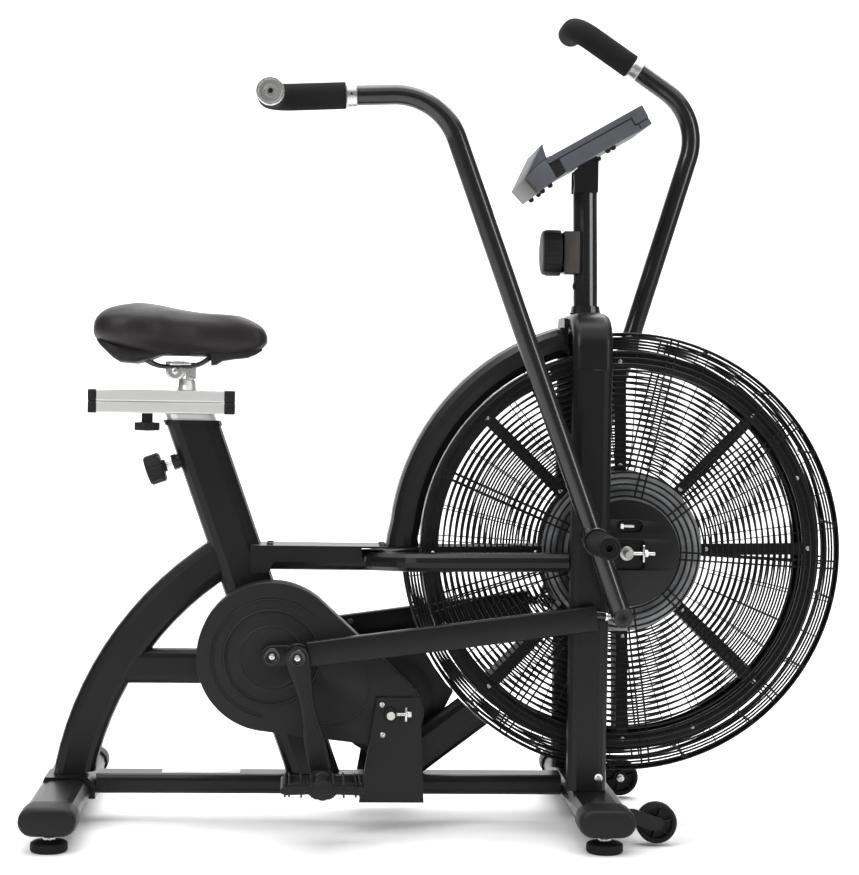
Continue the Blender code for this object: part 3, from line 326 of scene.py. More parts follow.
def plate(name, outline, low, high, finish, holes=(), axis="Y"):
    def place(point, height):
        u, v = point
        if axis == "Y":
            return (u, height, v)
        if axis == "Z":
            return (u, v, height)
        return (height, u, v)

    loops = [list(outline)] + [list(hole) for hole in holes]
    triangles = tessellate_polygon([[Vector((u, v, 0)) for u, v in loop] for loop in loops])
    flat = [point for loop in loops for point in loop]
    total = len(flat)
    vertices = [place(p, low) for p in flat] + [place(p, high) for p in flat]
    if holes:
        faces = [tuple(t) for t in triangles]
        faces += [tuple(total + i for i in t) for t in triangles]
    else:
        faces = [tuple(range(total)), tuple(range(total, 2 * total))]
    start = 0
    for loop in loops:
        count = len(loop)
        for i in range(count):
            a = start + i
            b = start + (i + 1) % count
            faces.append((a, b, total + b, total + a))
        start += count
    return make(name, vertices, faces, finish)


def turned(name, profile, centre, axis, finish, steps=48, ribs=0, depth=0.0, ribbed=()):
    """A turned piece; ribbed names the profile rows that carry ribs of the given depth."""
    axis = Vector(axis).normalized()
    first = axis.orthogonal().normalized()
    second = axis.cross(first)
    centre = Vector(centre)
    vertices = []
    rings = []
    for row, (radius, height) in enumerate(profile):
        if radius == 0:
            rings.append([len(vertices)])
            vertices.append(centre + axis * height)
            continue
        rings.append(list(range(len(vertices), len(vertices) + steps)))
        for i in range(steps):
            angle = 2 * math.pi * i / steps
            wave = 0.0
            if ribs and row in ribbed:
                wave = depth * (0.5 + 0.5 * math.copysign(abs(math.cos(angle * ribs / 2)) ** 0.5, 1) - 1)
            spoke = first * math.cos(angle) + second * math.sin(angle)
            vertices.append(centre + axis * height + spoke * (radius + wave))
    faces = []
    pairs = list(zip(rings, rings[1:]))
    if profile[0][0] > 0:
        pairs.append((rings[-1], rings[0]))
    for low, high in pairs:
        for i in range(steps):
            j = (i + 1) % steps
            if len(low) == 1 and len(high) == 1:
                continue
            if len(low) == 1:
                faces.append((low[0], high[i], high[j]))
            elif len(high) == 1:
                faces.append((low[i], low[j], high[0]))
            else:
                faces.append((low[i], low[j], high[j], high[i]))
    return make(name, vertices, faces, finish)


def rod(name, start, end, radius, finish, steps=20, chamfer=0.0006):
    start = Vector(start)
    length = (Vector(end) - start).length
    profile = [(0, 0), (radius - chamfer, 0), (radius, chamfer), (radius, length - chamfer),
        (radius - chamfer, length), (0, length)]
    return turned(name, profile, start, Vector(end) - start, finish, steps)


def ring(name, centre, radius, y, wire, finish, segments=96, sides=6, start=0.0, stop=360.0):
    """A wire ring about the Y axis, whole or part of the way round."""
    whole = stop - start >= 359.9
    count = segments if whole else max(int(segments * (stop - start) / 360), 4) + 1
    path = []
    for i in range(count):
        angle = math.radians(start + (stop - start) * i / (count if whole else count - 1))
        path.append(Vector((centre.x + radius * math.cos(angle), y, centre.z + radius * math.sin(angle))))
    return sweep(name, path, circle(wire, sides), Y_AXIS, finish, closed=whole)


def disc(centre, radius, steps=48):
    return [(centre.x + radius * math.cos(2 * math.pi * i / steps), centre.z + radius * math.sin(
        2 * math.pi * i / steps)) for i in range(steps)]


def teardrop(first, first_r, second, second_r, steps=40):
    line = second - first
    heading = math.atan2(line.z, line.x)
    spread = math.acos((first_r - second_r) / line.length)
    points = []
    for i in range(steps + 1):
        angle = heading + spread + (2 * math.pi - 2 * spread) * i / steps
        points.append((first.x + first_r * math.cos(angle), first.z + first_r * math.sin(angle)))
    for i in range(steps // 2 + 1):
        angle = heading - spread + 2 * spread * i / (steps // 2)
        points.append((second.x + second_r * math.cos(angle), second.z + second_r * math.sin(angle)))
    return points


def bolt(name, centre, axis, radius, height, finish="zinc", socket=True):
    """A button-head screw with a hexagon socket."""
    profile = [(radius, 0), (radius, height * 0.45), (radius * 0.8, height * 0.85)]
    if socket:
        profile += [(radius * 0.42, height), (radius * 0.4, height * 0.4), (0, height * 0.4)]
    else:
        profile += [(radius * 0.3, height), (0, height)]
    return turned(name, [(0, 0)] + profile, centre, axis, finish, 18)


def nut(name, centre, axis, radius, height, finish="zinc"):
    return bevel(turned(name, [(0, 0), (radius, 0), (radius, height), (0, height)], centre, axis, finish,
        6), 0.0006, 2)


def smooth_path(points, steps):
    """A Catmull-Rom curve through the points."""
    points = [Vector(p) for p in points]
    padded = [points[0] * 2 - points[1]] + points + [points[-1] * 2 - points[-2]]
    made = []
    for i in range(1, len(padded) - 2):
        a, b, c, d = padded[i - 1:i + 3]
        for s in range(steps):
            t = s / steps
            made.append(0.5 * ((2 * b) + (c - a) * t + (2 * a - 5 * b + 4 * c - d) * t * t + (3 * b - a
                - 3 * c + d) * t ** 3))
    made.append(points[-1])
    return made


def dress(finish, *nodes):
    """Gives carried-over CAD nodes their finish."""
    for node in nodes:
        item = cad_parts[node]
        for slot in item.material_slots:
            slot.link = "OBJECT"
            slot.material = MATERIALS[finish]


# ---- base and frame ---------------------------------------------------------------------
STAB_Z = 0.0465
REAR_X = -0.562
FRONT_X = 0.2256
CAP_END = 0.265


def build_base():
    for end, x in (("rear", REAR_X), ("front", FRONT_X)):
        for side, sign in SIDES:
            build_cap(f"{end}_cap_{side}", x, sign)
            build_foot(end, side, sign, x)
    for side, sign in SIDES:
        build_transport_wheel(side, sign)
    label = plate("rail_label", [(-0.419, -0.015), (-0.301, -0.015), (-0.301, 0.015), (-0.419, 0.015)],
        0.0725, 0.073, "label", axis="Z")
    settle(bevel(label, 0.0001), "frame")


def build_cap(name, x, sign):
    outer = oval(0.083, 0.042, 16)
    stations = ((0.215, 0.992, 1.0), (0.2158, 1.0, 1.0), (CAP_END - 0.013, 1.0, 1.0), (CAP_END - 0.0075,
        0.985, 0.97), (CAP_END - 0.0035, 0.96, 0.91), (CAP_END - 0.001, 0.92, 0.82), (CAP_END, 0.86, 0.7))
    vertices = []
    for y, wide, tall in stations:
        vertices += [(x + u * wide, sign * y, STAB_Z + v * tall) for u, v in outer]
    count = len(outer)
    faces = []
    for low in range(len(stations) - 1):
        for i in range(count):
            j = (i + 1) % count
            faces.append((low * count + i, low * count + j, (low + 1) * count + j, (low + 1) * count + i))
    faces.append(tuple(range((len(stations) - 1) * count, len(stations) * count)))
    faces.append(tuple(range(count)))
    settle(make(f"cap_{name}", vertices, faces, "plastic", 50), "frame", name)


def build_foot(end, side, sign, x):
    centre = (x, sign * 0.23, 0)
    pad = turned("pad", [(0, 0), (0.0225, 0), (0.0255, 0.0016), (0.0265, 0.0035), (0.0265, 0.0105),
        (0.0258, 0.013), (0.0225, 0.015), (0.015, 0.016), (0.0105, 0.0165), (0, 0.0165)], centre, Z_AXIS,
        "rubber", 64, 32, 0.0008, (3, 4))
    lock = nut("lock", (x, sign * 0.23, 0.0166), Z_AXIS, 0.0098, 0.0042)
    stem = rod("stem", (x, sign * 0.23, 0.02), (x, sign * 0.23, 0.0252), 0.0048, "zinc")
    settle(join(f"levelling_{end}_{side}", [pad, lock, stem]), f"foot_{end}_{side}", f"foot_{end}_{side}")


def build_transport_wheel(side, sign):
    centre = Vector((0.3075, sign * 0.181, 0.0335))
    half = 0.0115
    r = 0.0295
    tyre = turned("tyre", [(0.0225, -half + 0.001), (0.024, -half), (r - 0.0025, -half), (r - 0.0006, -half
        + 0.0014), (r, -half + 0.004), (r, half - 0.004), (r - 0.0006, half - 0.0014), (r - 0.0025, half),
        (0.024, half), (0.0225, half - 0.001)], centre, Y_AXIS, "rubber", 64)
    parts = [tyre]
    parts.append(turned("web", [(0.0046, -0.01), (0.0105, -0.01), (0.011, -0.003), (0.0226, -0.003),
        (0.0226, 0.003), (0.011, 0.003), (0.0105, 0.01), (0.0046, 0.01)], centre, Y_AXIS, "plastic", 48))
    for i in range(6):
        angle = math.radians(60 * i + 15)
        out = Vector((math.cos(angle), 0, math.sin(angle)))
        parts.append(bevel(sweep("spoke", [centre + out * 0.0095, centre + out * 0.0232], rounded(0.003,
            0.017, 0.0008, 2), Y_AXIS, "plastic"), 0.0003, 1))
    settle(join(f"wheel_{side}", parts), f"transport_wheel_{side}", f"transport_wheel_{side}")
    axle = [rod("axle", centre + Y_AXIS * sign * -0.013, centre + Y_AXIS * sign * 0.0134, 0.004, "zinc"),
        bolt("head", centre + Y_AXIS * sign * -0.0128, Y_AXIS * -sign, 0.0066, 0.0042, "zinc")]
    settle(join(f"wheel_axle_{side}", axle), "frame")


def build_mast_head():
    """Smooth curved head over the two mast legs."""
    half = 0.097
    bend = 0.04
    corner_y = half - bend
    corner_z = 0.7617 - bend
    path = [(0.215, -half, 0.6903), (0.215, -half, 0.7)]
    for i in range(19):
        angle = math.radians(180 - 5 * i)
        path.append((0.215, -corner_y + bend * math.cos(angle), corner_z + bend * math.sin(angle)))
    path += [(x, -y, z) for x, y, z in reversed(path)]
    outline = [(v, u) for u, v in reversed(oval(0.06, 0.028, 16))]
    settle(sweep("head", path, outline, X_AXIS, "powder"), "frame", "mast_head")


def build_frame_trim():
    """Fasteners, flange nuts and weld beads on the static frame."""
    parts = []
    for _, sign in SIDES:
        y = sign * 0.111
        parts.append(bolt("foot_screw", (0.232, y + sign * 0.0002, 0.085), Y_AXIS * sign, 0.0062, 0.0036,
            "zinc"))
    for x in (-0.26, -0.09):
        parts.append(bolt("channel_screw", (x, -0.0205, 0.4202), Z_AXIS, 0.0052, 0.003, "powder", False))
        parts.append(bolt("channel_screw", (x, 0.0205, 0.4202), Z_AXIS, 0.0052, 0.003, "powder", False))
    flange_z = 0.7326 + 0.009
    for y in (-0.03, 0.03):
        parts.append(nut("flange_nut", (0.1786, y, flange_z + 0.006), -X_AXIS, 0.007, 0.0055, "powder"))
    settle(join("frame_screws", parts), "frame")
    beads = []
    path = [Vector((0.2155 + 0.0232 * math.cos(a), 0.0232 * math.sin(a), 0.7768))
        for a in [math.radians(12 * i) for i in range(30)]]
    beads.append(sweep("bead", path, circle(0.0014, 8), Z_AXIS, "powder", closed=True))
    settle(join("weld_beads", beads), "frame")


# ---- covers and drive -------------------------------------------------------------------
COVER_NEAR = -0.098
COVER_CENTRE = Vector((-0.255, 0.0, 0.2592))


def build_chain_cover():
    shape = teardrop(COVER_CENTRE, 0.1105, LAY, 0.05, 72)
    inner = teardrop(COVER_CENTRE, 0.1075, LAY, 0.047, 72)
    pan = plate("pan", shape, COVER_NEAR, -0.045, "cover")
    hole = rod("hole", BB - Y_AXIS * 0.2, BB, 0.0135, "cover", 40, 0.0)
    end_hole = rod("end_hole", LAY - Y_AXIS * 0.2, LAY, 0.008, "cover", 32, 0.0)
    hollow = plate("hollow", inner, COVER_NEAR + 0.003, -0.035, "cover")
    cut(pan, [hollow, hole, end_hole])
    bevel(pan, 0.003, 3, 50)
    parts = [pan]
    centre = COVER_CENTRE
    face = COVER_NEAR
    for radius, wire in ((0.07, 0.002), (0.066, 0.0012), (0.046, 0.0024), (0.086, 0.0014), (0.0895, 0.001)):
        full = radius < 0.08
        parts.append(ring("ridge", centre, radius, face - 0.0002, wire, "cover", 120, 8,
            0.0 if full else 45.0, 360.0 if full else 262.0))
    dish = turned("dish", [(0.014, 0.0004), (0.03, 0.0004), (0.044, 0.0012), (0.047, 0.0018),
        (0.05, 0.0006), (0.056, 0.0002), (0.056, -0.001), (0.014, -0.001)], (BB.x, face, BB.z), -Y_AXIS,
        "cover", 96)
    parts.append(dish)
    panel_centre = Vector((-0.1725, 0, 0.221))
    parts.append(ring("panel_edge", panel_centre, 0.064, face - 0.0001, 0.0015, "cover", 120, 8, -105, 52))
    parts.append(bolt("cover_screw", (-0.139, face - 0.0001, 0.313), -Y_AXIS, 0.004, 0.002, "powder"))
    settle(join("cover_first", parts), "frame", "chain_cover")
    second = [turned("disc", [(0.012, 0.0001), (0.03, 0.0001), (0.034, 0.0022), (0.066, 0.0022),
        (0.07, 0.0001), (0.079, 0.0001), (0.079, -0.0006), (0.012, -0.0006)], (LAY.x, 0.02, LAY.z), -Y_AXIS,
        "cover", 96)]
    settle(join("cover_second_face", second), "frame")


def eccentric(sign):
    turn = CRANK_ANGLE if sign < 0 else CRANK_ANGLE + math.pi
    return BB + Vector((THROW * math.cos(turn), 0, THROW * math.sin(turn)))


def pedal_axis(sign):
    turn = PEDAL_ANGLE if sign < 0 else PEDAL_ANGLE + math.pi
    return eccentric(sign) + Vector((PEDAL_ARM * math.cos(turn), 0, PEDAL_ARM * math.sin(turn)))


def build_cranks():
    for side, sign in SIDES:
        pin = eccentric(sign)
        end = pedal_axis(sign)
        low, high = sorted((sign * 0.1035, sign * 0.1155))
        link = bevel(plate("link", teardrop(BB, 0.0165, pin, 0.0145, 32), low, high, "powder"), 0.0022, 3)
        shaft = rod("shaft", pin + Y_AXIS * sign * 0.112, pin + Y_AXIS * sign * 0.1385, 0.008, "powder")
        arm = build_arm(pin, end, sign)
        parts = [link, shaft, arm]
        for at, out in ((BB, 0.1156), (pin, 0.1512)):
            where = at + Y_AXIS * sign * out
            parts.append(turned("cup", [(0.0075, -0.0004), (0.0118, -0.0004), (0.0124, 0.0006),
                (0.0118, 0.0014), (0.009, 0.0016), (0.0075, 0.0008)], where, Y_AXIS * sign, "gloss", 40))
            parts.append(bolt("crank_bolt", where, Y_AXIS * sign, 0.0052, 0.0036, "zinc"))
        settle(join(f"crank_arm_{side}", parts), "crank", f"crank_{side}")
        build_pedal(side, sign, end)


def build_arm(pin, end, sign):
    """Forged arm: round ends and a waist that tapers."""
    stations = 28
    axis = (end - pin).normalized()
    across = Vector((-axis.z, 0, axis.x))
    vertices = []
    profile = rounded(2.0, 2.0, 0.55, 5)
    length = (end - pin).length
    for i in range(stations + 1):
        t = i / stations
        along = -0.0175 + (length + 0.0175 + 0.015) * t
        if along < 0:
            wide = math.sqrt(max(0.0175 ** 2 - along ** 2, 4e-6))
        elif along > length:
            wide = math.sqrt(max(0.015 ** 2 - (along - length) ** 2, 4e-6))
        else:
            s = along / length
            wide = 0.0175 - 0.006 * math.sin(math.pi * min(s * 1.25, 1.0)) ** 2 - 0.0025 * s
        thick = 0.0074 - 0.0014 * math.sin(math.pi * t)
        middle = sign * 0.1444
        for u, v in profile:
            vertices.append(pin + axis * along + across * wide * u + Y_AXIS * (middle + v * thick))
    count = len(profile)
    faces = []
    for row in range(stations):
        for i in range(count):
            j = (i + 1) % count
            faces.append((row * count + i, row * count + j, (row + 1) * count + j, (row + 1) * count + i))
    faces.append(tuple(range(count)))
    faces.append(tuple(range(stations * count, (stations + 1) * count)))
    return make("arm", vertices, faces, "powder", 45)


def build_pedal(side, sign, centre):
    """Plastic platform: two end plates, cross bars, a boss and studs."""
    parts = []
    mid = sign * 0.208
    for y in (mid - 0.0455, mid + 0.0455):
        outline = [(-0.056, -0.003), (-0.052, -0.0062), (-0.02, -0.005), (-0.011, -0.012), (0.011, -0.012),
            (0.02, -0.005), (0.052, -0.0062), (0.056, -0.003), (0.056, 0.003), (0.052, 0.0062),
            (0.02, 0.005), (0.011, 0.012), (-0.011, 0.012), (-0.02, 0.005), (-0.052, 0.0062),
            (-0.056, 0.003)]
        parts.append(bevel(plate("end", outline, y - 0.0022, y + 0.0022, "plastic"), 0.001, 2))
    for u in (-0.053, -0.047, 0.047, 0.053):
        for v in (-0.0075, 0.0075):
            start = Vector((u, mid - 0.045, v))
            parts.append(bevel(sweep("bar", [start, start + Y_AXIS * 0.09], rounded(0.0028, 0.004, 0.0008,
                2), Z_AXIS, "plastic"), 0.0004, 1))
    for u in (-0.03, -0.015, 0.015, 0.03):
        for v in (-0.0085, 0.0085):
            start = Vector((u, mid - 0.045, v))
            parts.append(sweep("slat", [start, start + Y_AXIS * 0.09], rounded(0.003, 0.003, 0.0008, 2),
                Z_AXIS, "plastic"))
    parts.append(turned("boss", [(0, -0.05), (0.011, -0.05), (0.0135, -0.0485), (0.0135, -0.03),
        (0.011, -0.028), (0.01, 0.03), (0.0135, 0.032), (0.0135, 0.045), (0.011, 0.048), (0, 0.048)],
        (0, mid, 0), Y_AXIS, "plastic", 40))
    parts.append(bolt("boss_screw", (0, mid + sign * 0.0478, 0), Y_AXIS * sign, 0.0062, 0.002, "zinc"))
    for u in (-0.0545, 0.0545):
        parts.append(rod("reflector_stud", (u, mid - 0.048, 0.0), (u, mid + 0.048, 0.0), 0.005, "plastic",
            20))
    parts.append(rod("stub", (0, sign * (0.152 + GAP), 0), (0, sign * 0.165, 0), 0.007, "zinc"))
    made = join(f"pedal_body_{side}", parts)
    turn = Matrix.Rotation(FAR_PEDAL_TURN if sign > 0 else 0.0, 4, "Y")
    made.data.transform(Matrix.Translation((centre.x, 0, centre.z)) @ turn)
    settle(made, f"pedal_{side}", f"pedal_{side}")


def lever_foot(sign):
    pin = eccentric(sign)
    span = LEVER_PIVOT - pin
    distance = math.hypot(span.x, span.z)
    along = (ROD_LENGTH ** 2 - LEVER_ARM ** 2 + distance ** 2) / (2 * distance)
    off = math.sqrt(ROD_LENGTH ** 2 - along ** 2)
    ux = span.x / distance
    uz = span.z / distance
    return Vector((pin.x + ux * along + uz * off, 0, pin.z + uz * along - ux * off))


def lever_point(sign, forward, up, out=0.0):
    along = (LEVER_PIVOT - lever_foot(sign)).normalized()
    ahead = Vector((along.z, 0, -along.x))
    return LEVER_PIVOT + Y_AXIS * sign * (LEVER_Y + out) + along * up + ahead * forward


def build_pushrods():
    for side, sign in SIDES:
        pin = eccentric(sign)
        foot = lever_foot(sign)
        line = (foot - pin).normalized()
        across = Vector((-line.z, 0, line.x))
        at = Y_AXIS * sign * ROD_Y
        stop = foot - line * 0.034
        head = turned("eye", [(0.0086, -0.0072), (0.018, -0.0072), (0.019, -0.0062), (0.019, 0.0062),
            (0.018, 0.0072), (0.0086, 0.0072)], pin + at, Y_AXIS, "powder", 48)
        bar = bevel(sweep("bar", [pin + at + line * 0.016, stop + at], rounded(0.0378, 0.0156, 0.0036, 4),
            Y_AXIS, "powder"), 0.0006, 1)
        neck = bevel(sweep("neck", [stop + at - line * 0.02 + across * 0.0085, foot + at - line * 0.021
            + across * 0.0015], circle(0.0072, 24), Y_AXIS, "gloss"), 0.0006, 1)
        lock = nut("lock", foot + at - line * 0.0225, line, 0.0066, 0.005)
        shank = rod("shank", foot + at - line * 0.02, foot + at - line * 0.008, 0.0042, "zinc")
        end = turned("rod_end", [(0.004, -0.0055), (0.0098, -0.0055), (0.0108, -0.0042), (0.0108, 0.0042),
            (0.0098, 0.0055), (0.004, 0.0055)], foot + at, Y_AXIS, "zinc", 36)
        settle(join(f"push_rod_{side}", [bar, head, neck, lock, shank, end]), f"pushrod_{side}",
            f"pushrod_{side}")


# ---- levers -----------------------------------------------------------------------------
def build_levers():
    corner_up = 0.689
    tilt = math.radians(17.5)
    radius = 0.095
    tangent = radius * math.tan((math.pi / 2 - tilt) / 2)
    for side, sign in SIDES:
        path = [lever_point(sign, 0, -LEVER_ARM), lever_point(sign, 0, 0), lever_point(sign, 0, 0.3),
            lever_point(sign, 0, corner_up - tangent)]
        for i in range(1, 25):
            turn = (math.pi / 2 - tilt) * i / 24
            path.append(lever_point(sign, -radius * (1 - math.cos(turn)), corner_up - tangent
                + radius * math.sin(turn)))
        path.append(lever_point(sign, -0.131, 0.7302))
        parts = [sweep("tube", path, circle(0.015, 32), Y_AXIS, "gloss")]
        low = lever_point(sign, 0, -LEVER_ARM)
        parts.append(turned("eye", [(0, -0.015), (0.0135, -0.015), (0.0148, -0.0138), (0.0148, 0.0138),
            (0.0135, 0.015), (0, 0.015)], low, Y_AXIS, "gloss", 40))
        parts.append(bolt("eye_bolt", low + Y_AXIS * sign * 0.0146, Y_AXIS * sign, 0.0076, 0.004, "powder"))
        parts.append(turned("barrel", [(0.0095, 0.112), (0.0195, 0.112), (0.0205, 0.113), (0.0205, 0.1655),
            (0.0195, 0.1665), (0.0095, 0.1665)], LEVER_PIVOT, Y_AXIS * sign, "gloss", 48))
        for offset in (0.0198, -0.0198):
            centre = lever_point(sign, 0, offset)
            bead = [centre + (Vector((math.cos(a), 0, 0)) + Y_AXIS * math.sin(a)) * 0.0152
                for a in [2 * math.pi * k / 32 for k in range(32)]]
            parts.append(sweep("bead", bead, circle(0.0013, 8), Z_AXIS, "gloss", closed=True))
        settle(join(f"hand_lever_{side}", parts), f"lever_{side}", f"lever_{side}")
        build_grip(side, sign)
        build_peg(side, sign)


def build_grip(side, sign):
    """Foam sleeve with a metal collar at its root and a metal end cap."""
    ring_at = lever_point(sign, -0.131, 0.7302)
    corner = lever_point(sign, -0.235, 0.762)
    ahead = (corner - ring_at).normalized()
    bend = 0.032
    begin = corner - ahead * bend
    start = ring_at + ahead * 0.001
    path = [start, start + ahead * 0.0012] + [start + (begin - start) * t for t in (0.25, 0.5, 0.75)]
    for i in range(17):
        turn = math.radians(90 * i / 16)
        path.append(begin + ahead * bend * math.sin(turn) + Y_AXIS * sign * bend * (1 - math.cos(turn)))
    tip = corner + Y_AXIS * sign * 0.07
    path += [corner + Y_AXIS * sign * 0.05, tip - Y_AXIS * sign * 0.0006, tip]
    scales = [0.965, 1.0] + [1.0] * (len(path) - 4) + [1.0, 0.965]
    up = (LEVER_PIVOT - lever_foot(sign)).normalized()
    grip = sweep(f"grip_foam_{side}", path, circle(0.0195, 40), up, "foam", scales)
    settle(grip, f"lever_{side}", f"grip_{side}")
    cap = turned("cap", [(0, -0.001), (0.0196, -0.001), (0.02, 0.0), (0.02, 0.007), (0.0192, 0.0079),
        (0.0168, 0.0079), (0.016, 0.0066), (0.0096, 0.0062), (0.009, 0.0074), (0.004, 0.0076),
        (0.0034, 0.0064), (0, 0.0064)], tip, Y_AXIS * sign, "zinc", 56)
    face = turned("face", [(0.0098, 0.0064), (0.016, 0.0067), (0.016, 0.006), (0.0098, 0.0058)], tip,
        Y_AXIS * sign, "steel", 56)
    screw = bolt("screw", tip + Y_AXIS * sign * 0.0062, Y_AXIS * sign, 0.0034, 0.0015, "powder")
    collar = turned("collar", [(0.0152, -0.015), (0.019, -0.015), (0.02, -0.014), (0.02, -0.0008),
        (0.019, 0.0002), (0.0152, 0.0002)], ring_at, ahead, "zinc", 56)
    hole = turned("set_screw", [(0, 0), (0.0016, 0), (0.0016, 0.0004), (0, 0.0004)], ring_at - ahead * 0.007
        + Y_AXIS * sign * 0.0198, Y_AXIS * sign, "powder", 16)
    settle(join(f"grip_metal_{side}", [cap, face, screw, collar, hole]), f"lever_{side}")


def build_peg(side, sign):
    """Ribbed rubber foot peg on its axle, with rings moulded on its face."""
    profile = [(0, 0.1116), (0.009, 0.1116), (0.009, 0.1682), (0.012, 0.1682), (0.0162, 0.1684),
        (0.0172, 0.17), (0.0172, 0.285), (0.0166, 0.2875), (0.015, 0.289), (0.0136, 0.2892),
        (0.0132, 0.288), (0.0116, 0.288), (0.0112, 0.2892), (0.0092, 0.2892), (0.0088, 0.2878),
        (0.007, 0.2878), (0.0066, 0.289), (0.0052, 0.289), (0.005, 0.28), (0, 0.28)]
    settle(turned(f"peg_{side}", profile, LEVER_PIVOT, Y_AXIS * sign, "rubber", 120, 30, 0.0012, (5, 6)),
        "frame", f"foot_peg_{side}")


# ---- fan and guard ----------------------------------------------------------------------
def dish_y(radius):
    """|y| of the guard's surface at a radius."""
    if radius <= 0.24:
        return 0.0655
    t = (radius - 0.24) / (CAGE_R - 0.24)
    return 0.0655 - 0.015 * t * t


ARCH_FROM = 104.0
ARCH_TO = 184.0


def build_guard(side, sign):
    wire = 0.0016
    rings = []
    radius = 0.085
    while radius < 0.305:
        rings.append(ring("ring", FAN, radius, sign * dish_y(radius), wire, "wire", 110, 6))
        radius += 0.009
    for radius in (0.3085, 0.3132, 0.3179, 0.3226):
        rings.append(ring("ring", FAN, radius, sign * dish_y(radius), wire, "wire", 110, 6, ARCH_TO - 360,
            ARCH_FROM))
    for y in (0.05, 0.0455, 0.041, 0.0365):
        rings.append(ring("ring", FAN, CAGE_R - 0.0019, sign * y, 0.0018, "wire", 128, 6, ARCH_TO - 360,
            ARCH_FROM))
    settle(join(f"guard_rings_{side}", rings), "frame", f"guard_{side}")
    spokes = []
    for k in range(36):
        angle = -3.0 + 10.0 * k
        turn = math.radians(angle)
        heading = angle % 360
        outer = 0.304 if ARCH_FROM < heading < ARCH_TO else CAGE_R - 0.004
        out = Vector((math.cos(turn), 0, math.sin(turn)))
        over = Vector((-out.z, 0, out.x))
        main = k % 4 == 0
        offsets = (-0.0055, 0.0055) if main else (0.0,)
        for offset in offsets:
            path = []
            for i in range(9):
                first = 0.083 if main else 0.13
                r = first + (outer - first) * i / 8
                path.append(FAN + out * r + over * offset + Y_AXIS * sign * (dish_y(r)
                    - (0.0028 if main else 0.002)))
            spokes.append(sweep("spoke", path, circle(0.0016 if main else 0.0009, 6), over, "wire"))
    settle(join(f"guard_spokes_{side}", spokes), "frame")


def build_rim_bolts():
    parts = []
    for k in range(18):
        angle = 8.0 + 20.0 * k
        if ARCH_FROM - 4 < angle % 360 < ARCH_TO + 2:
            continue
        turn = math.radians(angle)
        out = Vector((math.cos(turn), 0, math.sin(turn)))
        for sign in (-1, 1):
            at = FAN + out * (CAGE_R - 0.0035) + Y_AXIS * sign * 0.043
            parts.append(bevel(sweep("clip", [at - out * 0.0018, at + out * 0.0022], rounded(0.0075, 0.017,
                0.0015, 2), Y_AXIS, "wire"), 0.0005, 1))
        at = FAN + out * (CAGE_R - 0.005)
        parts.append(rod("tie", at - Y_AXIS * 0.05, at + Y_AXIS * 0.05, 0.0018, "wire", 8))
    settle(join("guard_clips", parts), "frame")


def build_fan():
    half = 0.03
    r0, r1 = 0.2785, 0.3045
    profile = [(r0, -half), (r0 + 0.001, -half - 0.0006), (r1 - 0.003, -half - 0.0006), (r1 - 0.0006, -half
        + 0.0004), (r1, -half + 0.003), (r1, half - 0.003), (r1 - 0.0006, half - 0.0004), (r1 - 0.003,
        half), (r0, half), (r0, half - 0.0022), (r1 - 0.0026, half - 0.0022), (r1 - 0.0026, -half + 0.0022),
        (r0, -half + 0.0022)]
    parts = [turned("rim", profile, FAN, Y_AXIS, "powder", 160)]
    for k in range(8):
        turn = math.radians(1.0 + 45 * k)
        out = Vector((math.cos(turn), 0, math.sin(turn)))
        over = Vector((-out.z, 0, out.x))
        section = ((-0.008, -0.0296), (0.01, -0.0296), (0.01, -0.028), (-0.0064, -0.028), (-0.0064, 0.028),
            (-0.008, 0.028))
        vertices = []
        for reach in (0.047, 0.299):
            vertices += [FAN + out * reach + over * u + Y_AXIS * v for u, v in section]
        faces = [tuple(range(6)), tuple(range(6, 12))]
        for i in range(6):
            faces.append((i, (i + 1) % 6, 6 + (i + 1) % 6, 6 + i))
        parts.append(bevel(make("blade", vertices, faces, "plastic"), 0.0005, 1))
        for r in (0.13, 0.287):
            parts.append(bolt("screw", FAN + out * r + over * 0.0015 - Y_AXIS * 0.0304, -Y_AXIS, 0.0034,
                0.0018, "zinc"))
    for k in range(4):
        turn = math.radians(23.0 + 90 * k)
        out = Vector((math.cos(turn), 0, math.sin(turn)))
        parts.append(bolt("screw", FAN + out * 0.291 - Y_AXIS * 0.0306, -Y_AXIS, 0.0034, 0.0016, "zinc"))
    settle(join("fan_assembly", parts), "fan", "fan_wheel")
    discs = []
    for sign in (-1, 1):
        rows = [(0.024, 0.033), (0.024, 0.0368), (0.056, 0.0368), (0.058, 0.038), (0.078, 0.038),
            (0.08, 0.0366), (0.096, 0.0366), (0.098, 0.0378), (0.114, 0.0378), (0.116, 0.0364),
            (0.1215, 0.0364), (0.122, 0.035), (0.1215, 0.0332)]
        discs.append(turned("disc", rows, FAN, Y_AXIS * sign, "galvanised" if sign < 0 else "brownish",
            120))
        discs.append(turned("flange", [(0.0066, 0.037), (0.018, 0.037), (0.02, 0.0385), (0.02, 0.055),
            (0.019, 0.056), (0.0066, 0.056)], FAN, Y_AXIS * sign, "steel", 56))
        for k in range(6):
            turn = math.radians(60 * k + 12)
            at = FAN + Vector((math.cos(turn), 0, math.sin(turn))) * 0.068 + Y_AXIS * sign * 0.0378
            discs.append(bolt("rivet", at, Y_AXIS * sign, 0.0036, 0.0018, "zinc", False))
    discs.append(turned("drum", [(0.024, -0.034), (0.047, -0.034), (0.047, 0.034), (0.024, 0.034)], FAN,
        Y_AXIS, "galvanised", 72))
    settle(join("fan_hub_discs", discs), "fan", "fan_hub")


